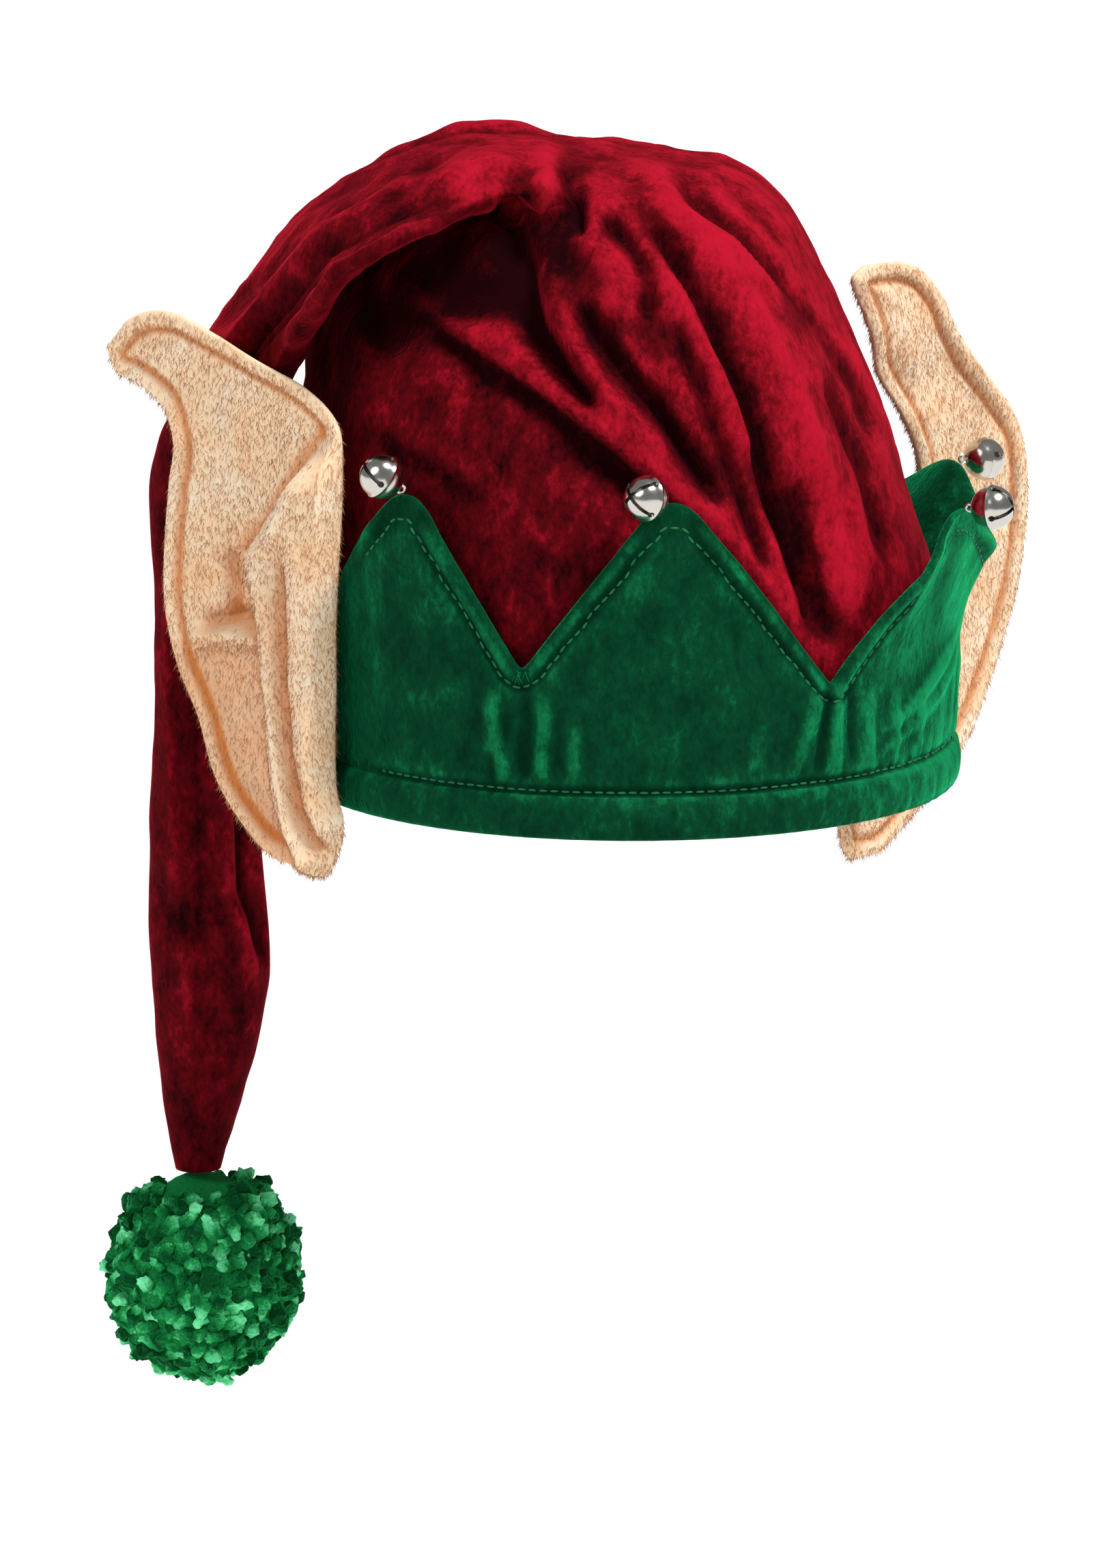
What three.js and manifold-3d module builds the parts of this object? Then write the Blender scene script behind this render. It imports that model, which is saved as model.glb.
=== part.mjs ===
// Elf hat: velvet crown with a long bent-over peak, pointed cuff with bells, two plush ears, pompom.
// Millimetres, +Z up through the crown, origin at the centre of the head opening in the hem plane.
import * as THREE from 'three';
import { mergeVertices } from 'three/addons/utils/BufferGeometryUtils.js';
import Module from 'manifold-3d';

const wasm = await Module();
wasm.setup();

// Head opening and cloth
const HEAD_RADIUS = 89.8;
const VELVET = 1.8;
const CLEARANCE = 0.3;
const CROWN_RADIUS = HEAD_RADIUS + VELVET;
const CROWN_START = 1.5;
const CROWN_TOP = 195;
const FOLD_DEPTH = 8;
const FOLD_WIDTH = 8;

// Hanging peak
const PEAK_X = -123;
const PEAK_Y = 10;
const PEAK_TOP = 84;
const PEAK_LENGTH = 205;
const PEAK_WIDTH = 34;
const PEAK_DEPTH = 24;

// Cuff
const CUFF_CLOTH = 2.6;
const CUFF_ROOM = 0.5;
const HEM_HEIGHT = 12.5;
const HEM_BULGE = 2.2;
const NOTCH_HEIGHT = 49;
const POINT_HEIGHT = 48;
const TIP_WIDTH = 8;
const POINT_STAND = 3.2;
const CUFF_EASE = 1.1;
const GATHER_LIFT = 1.3;
const GATHER_SPAN = 2.6;

// Ears
const EAR_WIDTH = 62;
const EAR_HEIGHT = 160;
const EAR_LOFT = 7;
const EAR_RIM = 5.5;
const EAR_CUP = 5;
const EAR_FLAP = 3.4;

// Bells
const BELL_RADIUS = 6.3;
const BELL_WALL = 0.6;
const BELL_SLOT = 1.2;
const BELL_RIM = 0.35;
const LOOP_RADIUS = 1.2;
const LOOP_WIRE = 0.45;
const PELLET_RADIUS = 1.7;
const FACET_SHARE = 0.92;

// Pompom
const POMPOM_WIDTH = 62;
const POMPOM_HEIGHT = 69;
const LOCK_COUNT = 38;
const LOCK_RADIUS = 8.4;
const SOCKET_DEPTH = 5;
const SOCKET_ROOM = 1.5;
const POMPOM_SWING = 3.4;

const CRIMSON = 0x8e0a1e;
const GREEN = 0x0b6b3a;
const POMPOM_GREEN = 0x0f8a3e;
const PEACH = 0xe8be93;
const NICKEL = 0xc9c7c2;

const rad = (degrees) => degrees * Math.PI / 180;
const clamp01 = (t) => Math.min(1, Math.max(0, t));
const smooth = (t) => clamp01(t) ** 2 * (3 - 2 * clamp01(t));
const mix = (a, b, t) => a + (b - a) * t;

// Sections of the crown from the hem up, over and down. Each spans from the inner (crease) side to
// the outer side; x, y and depth are shares of CROWN_RADIUS, z of CROWN_TOP. Egg is how much
// narrower a section is on its inner side. Where the crown bends over, that side hangs forward.
const DOME = [
  { ix: -1.00, iz: 0.00, iy: 0.00, ox: 1.00, oz: 0.00, oy: 0.00, depth: 1.00, egg: 0.00, steps: 1 },
  { ix: -1.00, iz: 0.13, iy: 0.00, ox: 1.00, oz: 0.13, oy: 0.00, depth: 1.00, egg: 0.00, steps: 1 },
  { ix: -1.00, iz: 0.25, iy: 0.00, ox: 0.99, oz: 0.25, oy: 0.00, depth: 1.00, egg: 0.00, steps: 2 },
  { ix: -1.01, iz: 0.38, iy: 0.00, ox: 0.92, oz: 0.38, oy: 0.00, depth: 0.99, egg: 0.00, steps: 2 },
  { ix: -1.03, iz: 0.50, iy: 0.00, ox: 0.835, oz: 0.50, oy: 0.00, depth: 0.96, egg: 0.05, steps: 2 },
  { ix: -1.05, iz: 0.60, iy: 0.01, ox: 0.745, oz: 0.62, oy: 0.00, depth: 0.90, egg: 0.12, steps: 2 },
  { ix: -1.00, iz: 0.71, iy: 0.02, ox: 0.62, oz: 0.755, oy: 0.01, depth: 0.82, egg: 0.20, steps: 2 },
  { ix: -0.84, iz: 0.795, iy: 0.03, ox: 0.49, oz: 0.865, oy: 0.02, depth: 0.70, egg: 0.22, steps: 2 },
  { ix: -0.63, iz: 0.85, iy: 0.03, ox: 0.29, oz: 0.93, oy: 0.02, depth: 0.60, egg: 0.16, steps: 2 },
  { ix: -0.46, iz: 0.867, iy: 0.00, ox: 0.00, oz: 0.955, oy: 0.02, depth: 0.52, egg: 0.06, steps: 2 },
  { ix: -0.48, iz: 0.888, iy: -0.10, ox: -0.43, oz: 0.98, oy: 0.03, depth: 0.45, egg: -0.05, steps: 2 },
  { ix: -0.68, iz: 0.855, iy: -0.20, ox: -0.73, oz: 0.95, oy: 0.04, depth: 0.38, egg: -0.12, steps: 2 },
  { ix: -0.88, iz: 0.79, iy: -0.22, ox: -1.01, oz: 0.865, oy: 0.06, depth: 0.31, egg: -0.12, steps: 2 },
  { ix: -1.02, iz: 0.72, iy: -0.16, ox: -1.18, oz: 0.76, oy: 0.08, depth: 0.24, egg: -0.08, steps: 1 },
  { ix: -1.10, iz: 0.63, iy: -0.07, ox: -1.33, oz: 0.67, oy: 0.09, depth: 0.19, egg: -0.04, steps: 1 },
  { ix: -1.15, iz: 0.52, iy: 0.04, ox: -1.46, oz: 0.55, oy: 0.10, depth: 0.15, egg: 0.00, steps: 1 },
];

// Sections of the hanging peak; down is a share of PEAK_LENGTH, inner and outer of PEAK_WIDTH
// from the peak's middle line, depth a share of PEAK_DEPTH.
const PEAK = [
  { down: 0.00, inner: 0.48, outer: -0.50, depth: 0.50 },
  { down: 0.16, inner: 0.46, outer: -0.48, depth: 0.48 },
  { down: 0.36, inner: 0.44, outer: -0.49, depth: 0.46 },
  { down: 0.52, inner: 0.43, outer: -0.54, depth: 0.48 },
  { down: 0.65, inner: 0.50, outer: -0.55, depth: 0.50 },
  { down: 0.76, inner: 0.46, outer: -0.52, depth: 0.44 },
  { down: 0.88, inner: 0.28, outer: -0.46, depth: 0.36 },
  { down: 1.00, inner: 0.06, outer: -0.34, depth: 0.30 },
];

// Folds of the crown and peak seen from the front (side -1) or the back (side 1). Each runs through
// three places; x is a share of CROWN_RADIUS, z of CROWN_TOP. Lift, out (+) or in (-), is a share of
// FOLD_DEPTH and width of FOLD_WIDTH.
const FOLDS = [
  { side: -1, lift: 0.25, width: 1.00, xa: -1.20, za: 0.72, xb: -0.64, zb: 0.94, xc: -0.45, zc: 0.98 },
  { side: -1, lift: -0.25, width: 0.75, xa: -1.12, za: 0.68, xb: -0.97, zb: 0.79, xc: -0.82, zc: 0.85 },
  { side: -1, lift: -1.00, width: 0.875, xa: -0.35, za: 0.80, xb: -0.31, zb: 0.72, xc: -0.09, zc: 0.61 },
  { side: -1, lift: 0.625, width: 0.875, xa: -0.20, za: 0.84, xb: -0.17, zb: 0.74, xc: 0.04, zc: 0.60 },
  { side: -1, lift: -0.562, width: 0.875, xa: -0.17, za: 0.80, xb: 0.03, zb: 0.65, xc: 0.21, zc: 0.52 },
  { side: -1, lift: 0.625, width: 1.125, xa: -0.76, za: 0.77, xb: -0.15, zb: 0.60, xc: 0.50, zc: 0.28 },
  { side: -1, lift: -0.625, width: 1.00, xa: 0.00, za: 0.91, xb: 0.33, zb: 0.64, xc: 0.58, zc: 0.26 },
  { side: -1, lift: 0.50, width: 1.00, xa: -0.02, za: 0.97, xb: 0.40, zb: 0.79, xc: 0.72, zc: 0.50 },
  { side: -1, lift: -0.438, width: 0.875, xa: 0.13, za: 0.93, xb: 0.48, zb: 0.74, xc: 0.70, zc: 0.56 },
  { side: -1, lift: -0.50, width: 0.875, xa: 0.34, za: 0.57, xb: 0.50, zb: 0.40, xc: 0.62, zc: 0.27 },
  { side: -1, lift: 0.375, width: 0.625, xa: -1.47, za: 0.08, xb: -1.46, zb: -0.08, xc: -1.46, zc: -0.22 },
  { side: -1, lift: -0.375, width: 0.50, xa: -1.26, za: -0.05, xb: -1.26, zb: -0.22, xc: -1.30, zc: -0.46 },
  { side: 1, lift: -0.375, width: 1.125, xa: -0.50, za: 0.80, xb: -0.30, zb: 0.70, xc: -0.10, zc: 0.45 },
  { side: 1, lift: 0.50, width: 1.125, xa: -0.30, za: 0.97, xb: 0.20, zb: 0.75, xc: 0.40, zc: 0.42 },
  { side: 1, lift: -0.438, width: 1.00, xa: -0.95, za: 0.66, xb: -0.60, zb: 0.54, xc: -0.45, zc: 0.34 },
];

// Points of the cuff by direction around the head: 0 faces -Y, positive toward +X, in degrees.
// Notch is the one that follows the point and deep its height as a share of NOTCH_HEIGHT; rise and
// lean, how far the tip stands outside the ring of the head opening, are shares of POINT_HEIGHT.
const POINTS = [
  { name: 'front', tip: 6.5, notch: 36.5, deep: 0.83, rise: 1.00, lean: 0.06 },
  { name: 'right', tip: 62, notch: 106, deep: 1.00, rise: 0.80, lean: 0.26 },
  { name: 'back_right', tip: 122, notch: 159, deep: 1.00, rise: 0.72, lean: 0.44 },
  { name: 'back', tip: 191, notch: 224, deep: 1.00, rise: 0.95, lean: 0.08 },
  { name: 'back_left', tip: 257, notch: 290, deep: 1.00, rise: 0.97, lean: 0.06 },
  { name: 'left', tip: 320, notch: 340.5, deep: 0.96, rise: 0.98, lean: 0.02 },
];

// Gathers of the cuff below its notches: direction in degrees, foot and head as shares of
// NOTCH_HEIGHT, drift of the head against the foot in degrees, lift as a share of GATHER_LIFT.
const GATHERS = [
  { at: 338, foot: 0.25, head: 0.90, drift: -3, lift: 1.0 },
  { at: 345, foot: 0.30, head: 0.80, drift: 1, lift: 0.7 },
  { at: 30, foot: 0.28, head: 0.80, drift: 4, lift: 1.0 },
  { at: 39, foot: 0.28, head: 0.78, drift: 0, lift: 0.8 },
  { at: 52, foot: 0.30, head: 0.80, drift: 0, lift: 0.6 },
  { at: 106, foot: 0.28, head: 0.90, drift: -2, lift: 1.0 },
  { at: 159, foot: 0.28, head: 0.90, drift: 2, lift: 1.0 },
  { at: 224, foot: 0.28, head: 0.90, drift: -2, lift: 1.0 },
  { at: 290, foot: 0.28, head: 0.90, drift: 2, lift: 1.0 },
];

function catmull(a, b, c, d, t) {
  const slope = (c - a) * t;
  const bend = (2 * a - 5 * b + 4 * c - d) * t * t;
  const twist = (3 * b - a - 3 * c + d) * t * t * t;
  return b + 0.5 * (slope + bend + twist);
}

function blendRows(rows, place, key) {
  const last = rows.length - 1;
  const i = Math.min(Math.floor(place), last - 1);
  const pick = (k) => rows[Math.min(last, Math.max(0, k))][key];
  return catmull(pick(i - 1), pick(i), pick(i + 1), pick(i + 2), place - i);
}

function crownRows() {
  const rows = DOME.map((r) => ({
    ix: r.ix * CROWN_RADIUS,
    iz: Math.max(CROWN_START, r.iz * CROWN_TOP),
    ox: r.ox * CROWN_RADIUS,
    oz: Math.max(CROWN_START, r.oz * CROWN_TOP),
    depth: r.depth * CROWN_RADIUS,
    iy: r.iy * CROWN_RADIUS,
    oy: r.oy * CROWN_RADIUS,
    egg: r.egg,
    steps: r.steps,
  }));
  for (const r of PEAK) {
    const z = PEAK_TOP - r.down * PEAK_LENGTH;
    rows.push({
      ix: PEAK_X + r.inner * PEAK_WIDTH,
      iz: z,
      ox: PEAK_X + r.outer * PEAK_WIDTH,
      oz: z,
      depth: r.depth * PEAK_DEPTH,
      iy: PEAK_Y,
      oy: PEAK_Y,
      egg: 0,
      steps: 1,
    });
  }
  return rows;
}

const CROWN_ROWS = crownRows();

function crownPoint(place, turn) {
  const at = (key) => blendRows(CROWN_ROWS, place, key);
  const cos = Math.cos(turn);
  const sin = Math.sin(turn);
  const outward = 0.5 + 0.5 * cos;
  const x = mix(at('ix'), at('ox'), outward);
  const y = mix(at('iy'), at('oy'), outward);
  const z = mix(at('iz'), at('oz'), outward);
  return new THREE.Vector3(x, y + at('depth') * sin * (1 + at('egg') * cos), z);
}

function crownNormal(place, turn) {
  const d = 0.02;
  const last = CROWN_ROWS.length - 1;
  const up = crownPoint(Math.min(last, place + d), turn).sub(crownPoint(Math.max(0, place - d), turn));
  const around = crownPoint(place, turn + d).sub(crownPoint(place, turn - d));
  return around.cross(up).normalize();
}

// Room between the crown and the cuff's points, growing from the notches to the tips.
function standOff(z) {
  return POINT_STAND * smooth((z - NOTCH_HEIGHT) / POINT_HEIGHT);
}

// How far round from the crown's sides the folds begin and are full, as a sine of the turn.
const FOLD_EDGE = 0.12;
const FOLD_FADE = 0.35;

function segmentDistance(x, z, ax, az, bx, bz) {
  const lx = bx - ax;
  const lz = bz - az;
  const t = clamp01(((x - ax) * lx + (z - az) * lz) / (lx * lx + lz * lz));
  return Math.hypot(x - ax - lx * t, z - az - lz * t);
}

function foldLift(p, facing) {
  let lift = 0;
  for (const f of FOLDS) {
    const px = [f.xa, f.xb, f.xc].map((v) => v * CROWN_RADIUS);
    const pz = [f.za, f.zb, f.zc].map((v) => v * CROWN_TOP);
    const near = segmentDistance(p.x, p.z, px[0], pz[0], px[1], pz[1]);
    const far = segmentDistance(p.x, p.z, px[1], pz[1], px[2], pz[2]);
    const reach = Math.min(near, far) / (f.width * FOLD_WIDTH);
    const shown = smooth((f.side * facing - FOLD_EDGE) / FOLD_FADE);
    lift += f.lift * FOLD_DEPTH * Math.exp(-reach * reach) * shown;
  }
  if (p.x > -CROWN_RADIUS * 1.1 && p.z < NOTCH_HEIGHT + POINT_HEIGHT) {
    lift = Math.min(lift, standOff(p.z) * 0.8) * smooth((p.z - NOTCH_HEIGHT) / HEM_HEIGHT);
  }
  return lift;
}

const AROUND_CROWN = 32;

// Turns are closer together on the front, where the folds are finest.
const FRONT_TURN = 1.5 * Math.PI;
const FRONT_CROWDING = 0.28;

function crownTurn(i) {
  const t = 2 * Math.PI * i / AROUND_CROWN;
  return t - FRONT_CROWDING * Math.sin(t - FRONT_TURN);
}

function crownRing(place, inset) {
  const ring = [];
  for (let i = 0; i < AROUND_CROWN; i += 1) {
    const turn = crownTurn(i);
    const p = crownPoint(place, turn);
    const n = crownNormal(place, turn);
    const lift = foldLift(p, Math.sin(turn));
    ring.push(p.addScaledVector(n, lift - inset));
  }
  return ring;
}

function meanPoint(ring) {
  const sum = new THREE.Vector3();
  for (const p of ring) {
    sum.add(p);
  }
  return sum.divideScalar(ring.length);
}

function solidOf(vertices, faces) {
  const geometry = new THREE.BufferGeometry();
  const flat = vertices.flatMap((p) => [p.x, p.y, p.z]);
  geometry.setAttribute('position', new THREE.Float32BufferAttribute(flat, 3));
  geometry.setIndex(faces);
  return geometry;
}

// Joins two rings of the same count; the faces look outward when the ring runs counter-clockwise
// as seen from the side that the rings climb to, or inward when they are lining.
function bridge(faces, lower, upper, count, lining) {
  for (let i = 0; i < count; i += 1) {
    const j = (i + 1) % count;
    if (lining) {
      faces.push(lower + i, upper + j, lower + j);
      faces.push(lower + i, upper + i, upper + j);
    } else {
      faces.push(lower + i, lower + j, upper + j);
      faces.push(lower + i, upper + j, upper + i);
    }
  }
}

function fan(faces, ring, centre, count) {
  for (let i = 0; i < count; i += 1) {
    faces.push(ring + i, ring + (i + 1) % count, centre);
  }
}

function crownGeometry() {
  const places = [];
  CROWN_ROWS.forEach((row, i) => {
    const steps = i === CROWN_ROWS.length - 1 ? 1 : row.steps;
    for (let k = 0; k < steps; k += 1) {
      places.push(i + k / steps);
    }
  });
  const outer = places.map((s) => crownRing(s, 0));
  const inner = places.map((s) => crownRing(s, VELVET));
  const end = inner.length - 1;
  inner[end].forEach((p) => {
    p.z += VELVET;
  });
  const n = AROUND_CROWN;
  const vertices = [...outer.flat(), ...inner.flat()];
  const faces = [];
  const innerStart = outer.length * n;
  for (let k = 0; k < end; k += 1) {
    bridge(faces, k * n, (k + 1) * n, n, false);
    bridge(faces, innerStart + k * n, innerStart + (k + 1) * n, n, true);
  }
  bridge(faces, innerStart, 0, n, false);
  vertices.push(meanPoint(outer[end]));
  fan(faces, end * n, vertices.length - 1, n);
  vertices.push(meanPoint(inner[end]));
  const tip = vertices.length - 1;
  for (let i = 0; i < n; i += 1) {
    faces.push(innerStart + end * n + (i + 1) % n, innerStart + end * n + i, tip);
  }
  return solidOf(vertices, faces);
}

// Radius of the crown in the direction of a cuff angle at a height of the dome.
function crownRadiusAt(degrees, z) {
  let place = 0;
  while (place < 5 && blendRows(CROWN_ROWS, place, 'iz') < z) {
    place += 0.1;
  }
  const ix = blendRows(CROWN_ROWS, place, 'ix');
  const ox = blendRows(CROWN_ROWS, place, 'ox');
  const depth = blendRows(CROWN_ROWS, place, 'depth');
  const cx = (ix + ox) / 2;
  const ax = (ox - ix) / 2;
  const sx = Math.sin(rad(degrees)) / ax;
  const sy = Math.cos(rad(degrees)) / depth;
  const a = sx * sx + sy * sy;
  const b = -2 * sx * cx / ax;
  const c = cx * cx / (ax * ax) - 1;
  return (-b + Math.sqrt(b * b - 4 * a * c)) / (2 * a);
}

// Directions of the cuff's columns with the height of its top edge and the outward lean there.
const FLANK = [0, 0.08, 0.22, 0.40, 0.60, 0.80];

function cuffColumns() {
  const columns = [];
  const half = TIP_WIDTH / 2 / CROWN_RADIUS * 180 / Math.PI;
  POINTS.forEach((p, i) => {
    const before = POINTS[(i + POINTS.length - 1) % POINTS.length];
    const start = before.notch > p.tip ? before.notch - 360 : before.notch;
    const full = p.rise * POINT_HEIGHT;
    const lean = p.lean * POINT_HEIGHT;
    const peak = NOTCH_HEIGHT + full;
    const add = (at, foot, share) => {
      columns.push({ at, top: mix(foot * NOTCH_HEIGHT, peak, share), full, lean });
    };
    for (const share of FLANK) {
      add(mix(start, p.tip - half, share), before.deep, share);
    }
    for (const side of [-1, 1]) {
      add(p.tip + half * side, 1, 1);
    }
    for (const share of FLANK.slice(1).reverse()) {
      add(mix(p.notch, p.tip + half, share), p.deep, share);
    }
  });
  return columns;
}

function gatherLift(degrees, z) {
  let lift = 0;
  for (const g of GATHERS) {
    const along = (z / NOTCH_HEIGHT - g.foot) / (g.head - g.foot);
    const turn = ((degrees - g.at - g.drift * along + 540) % 360) - 180;
    const fade = smooth(along / 0.3) * smooth((1 - along) / 0.3);
    lift += g.lift * Math.exp(-((turn / GATHER_SPAN) ** 2)) * fade;
  }
  return Math.min(lift, 1) * GATHER_LIFT;
}

// Heights from which the points lean out and from which the cuff lies eased off the crown.
const LEAN_START = NOTCH_HEIGHT * 0.7;
const EASE_START = NOTCH_HEIGHT * 0.5;

function cuffInside(column, z) {
  const above = clamp01((z - LEAN_START) / (NOTCH_HEIGHT - LEAN_START + column.full));
  const ease = CUFF_EASE * smooth((z - EASE_START) / (NOTCH_HEIGHT - EASE_START));
  const resting = crownRadiusAt(column.at, z) + ease + standOff(z);
  const leaning = CROWN_RADIUS + column.lean * above * above;
  return Math.max(resting, leaning) + CUFF_ROOM;
}

function hemBulge(z) {
  const t = clamp01(z / HEM_HEIGHT);
  return HEM_BULGE * Math.sqrt(Math.max(0, 1 - (2 * t - 1) ** 2));
}

function onCuff(column, radius, z) {
  const a = rad(column.at);
  return new THREE.Vector3(radius * Math.sin(a), -radius * Math.cos(a), z);
}

function cuffGeometry() {
  const columns = cuffColumns();
  const n = columns.length;
  const hem = [0, 0.18, 0.5, 0.82, 1, 1.25].map((t) => t * HEM_HEIGHT);
  const outerShares = [0.35, 0.7, 1];
  const innerShares = [0.4, 0.75, 1];
  const rings = [];
  const addRing = (height, inset) => {
    rings.push(columns.map((c) => {
      const z = height(c);
      const swell = z <= HEM_HEIGHT ? hemBulge(z) : gatherLift(c.at, z);
      return onCuff(c, cuffInside(c, z) + (inset ? 0 : CUFF_CLOTH + swell), z);
    }));
  };
  const top = (c, share) => mix(hem[hem.length - 1], c.top, share);
  hem.forEach((z) => addRing(() => z, false));
  outerShares.forEach((share) => addRing((c) => top(c, share), false));
  innerShares.slice().reverse().forEach((share) => addRing((c) => top(c, share), true));
  [1, 0].forEach((share) => addRing(() => hem[hem.length - 1] * share, true));
  const faces = [];
  for (let k = 0; k < rings.length; k += 1) {
    bridge(faces, k * n, ((k + 1) % rings.length) * n, n, false);
  }
  return solidOf(rings.flat(), faces);
}

// Outline of an ear from its lobe up: outer edge and inner edge across (shares of EAR_WIDTH from the
// seat outward) and up (shares of EAR_HEIGHT above the hem plane).
const NEAR_EAR = [
  { ox: 0.16, oz: -0.12, ix: 0.06, iz: -0.12 },
  { ox: 0.27, oz: -0.11, ix: 0.00, iz: -0.07 },
  { ox: 0.43, oz: -0.09, ix: -0.03, iz: -0.02 },
  { ox: 0.60, oz: -0.03, ix: 0.01, iz: 0.04 },
  { ox: 0.73, oz: 0.04, ix: 0.02, iz: 0.12 },
  { ox: 0.82, oz: 0.14, ix: 0.01, iz: 0.22 },
  { ox: 0.94, oz: 0.23, ix: 0.01, iz: 0.31 },
  { ox: 1.01, oz: 0.33, ix: 0.00, iz: 0.41 },
  { ox: 1.01, oz: 0.44, ix: -0.02, iz: 0.51 },
  { ox: 0.98, oz: 0.56, ix: -0.03, iz: 0.61 },
  { ox: 0.95, oz: 0.63, ix: -0.01, iz: 0.70 },
  { ox: 1.00, oz: 0.69, ix: 0.17, iz: 0.76 },
  { ox: 1.09, oz: 0.72, ix: 0.45, iz: 0.80 },
  { ox: 1.19, oz: 0.74, ix: 0.70, iz: 0.84 },
  { ox: 1.28, oz: 0.75, ix: 0.92, iz: 0.87 },
  { ox: 1.33, oz: 0.78, ix: 1.09, iz: 0.87 },
  { ox: 1.34, oz: 0.80, ix: 1.22, iz: 0.85 },
];

const FAR_EAR = [
  { ox: -0.10, oz: -0.23, ix: -0.28, iz: -0.23 },
  { ox: 0.00, oz: -0.21, ix: -0.33, iz: -0.20 },
  { ox: 0.16, oz: -0.17, ix: -0.34, iz: -0.14 },
  { ox: 0.36, oz: -0.11, ix: -0.24, iz: -0.07 },
  { ox: 0.55, oz: -0.04, ix: 0.00, iz: 0.02 },
  { ox: 0.69, oz: 0.05, ix: 0.02, iz: 0.11 },
  { ox: 0.81, oz: 0.15, ix: 0.02, iz: 0.20 },
  { ox: 0.90, oz: 0.25, ix: 0.02, iz: 0.30 },
  { ox: 0.95, oz: 0.35, ix: 0.12, iz: 0.40 },
  { ox: 0.95, oz: 0.46, ix: 0.18, iz: 0.50 },
  { ox: 0.89, oz: 0.55, ix: 0.06, iz: 0.60 },
  { ox: 0.72, oz: 0.63, ix: -0.10, iz: 0.68 },
  { ox: 0.54, oz: 0.70, ix: -0.14, iz: 0.74 },
  { ox: 0.42, oz: 0.76, ix: -0.19, iz: 0.79 },
  { ox: 0.32, oz: 0.82, ix: -0.25, iz: 0.83 },
  { ox: 0.18, oz: 0.87, ix: -0.29, iz: 0.87 },
  { ox: 0.02, oz: 0.89, ix: -0.20, iz: 0.89 },
];

// Seat of each ear: direction of its stitched edge around the head, its distance from the axis as a
// share of CROWN_RADIUS, and the direction in which it spreads, in degrees as for the cuff.
const EARS = [
  { name: 'ear_left', rows: NEAR_EAR, at: 304.5, seat: 1.125, spread: 234, front: 1, flap: 1 },
  { name: 'ear_right', rows: FAR_EAR, at: 129.5, seat: 1.136, spread: 134, front: -1, flap: 0.5 },
];

// Loft of an ear's face across its width: rounded rim, stitched groove inside it, soft middle.
function earLoft(distance) {
  const rim = Math.sqrt(clamp01(distance / (EAR_RIM * 0.6)));
  const groove = 0.45 * Math.exp(-(((distance - EAR_RIM) / 1.6) ** 2));
  return (0.72 + 0.28 * smooth((distance - EAR_RIM) / 8)) * rim * (1 - groove);
}

const EAR_FRONT = [0, 0.035, 0.09, 0.16, 0.30, 0.44, 0.56, 0.62, 0.76, 0.88, 0.93, 0.975, 1];
const EAR_BACK = [0.965, 0.91, 0.75, 0.5, 0.25, 0.09, 0.035];

function earRing(ear, row, share) {
  const out = new THREE.Vector3(Math.sin(rad(ear.spread)), -Math.cos(rad(ear.spread)), 0);
  const face = new THREE.Vector3(-out.y, out.x, 0).multiplyScalar(ear.front);
  const base = new THREE.Vector3(Math.sin(rad(ear.at)), -Math.cos(rad(ear.at)), 0)
    .multiplyScalar(ear.seat * CROWN_RADIUS);
  const place = (u, toFront) => {
    const across = mix(row.ox, row.ix, u) * EAR_WIDTH;
    const up = mix(row.oz, row.iz, u) * EAR_HEIGHT;
    const width = Math.hypot((row.ox - row.ix) * EAR_WIDTH, (row.oz - row.iz) * EAR_HEIGHT);
    const edge = Math.min(u, 1 - u) * width;
    const ends = Math.sqrt(clamp01(Math.min(share, 1 - share) / 0.05));
    let half = EAR_LOFT / 2 * earLoft(edge) * mix(0.55, 1, ends);
    const cup = -EAR_CUP * Math.sin(Math.PI * u) * Math.sin(Math.PI * share);
    if (toFront) {
      const flapOn = smooth((u - 0.56) / 0.06) * smooth((0.97 - u) / 0.1);
      half += ear.flap * EAR_FLAP * flapOn * Math.sin(Math.PI * clamp01((share - 0.02) / 0.78));
    } else {
      half = -half;
    }
    return base.clone().addScaledVector(out, across).addScaledVector(face, cup + half)
      .add(new THREE.Vector3(0, 0, up));
  };
  return [...EAR_FRONT.map((u) => place(u, true)), ...EAR_BACK.map((u) => place(u, false))];
}

function earGeometry(ear) {
  const last = ear.rows.length - 1;
  const rings = ear.rows.map((row, i) => earRing(ear, row, i / last));
  const n = rings[0].length;
  const vertices = rings.flat();
  const faces = [];
  for (let k = 0; k < last; k += 1) {
    bridge(faces, k * n, (k + 1) * n, n, true);
  }
  vertices.push(meanPoint(rings[0]).add(new THREE.Vector3(0, 0, -1)));
  for (let i = 0; i < n; i += 1) {
    faces.push(i, (i + 1) % n, vertices.length - 1);
  }
  vertices.push(meanPoint(rings[last]));
  for (let i = 0; i < n; i += 1) {
    faces.push(last * n + (i + 1) % n, last * n + i, vertices.length - 1);
  }
  const geometry = solidOf(vertices, faces);
  if (ear.front > 0) {
    const index = geometry.getIndex().array;
    for (let i = 0; i < index.length; i += 3) {
      [index[i], index[i + 1]] = [index[i + 1], index[i]];
    }
  }
  return geometry;
}

function toManifold(geometry) {
  const plain = geometry.clone();
  plain.deleteAttribute('normal');
  plain.deleteAttribute('uv');
  const merged = mergeVertices(plain, 1e-4);
  return new wasm.Manifold(new wasm.Mesh({
    numProp: 3,
    vertProperties: new Float32Array(merged.getAttribute('position').array),
    triVerts: new Uint32Array(merged.getIndex().array),
  }));
}

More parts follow.
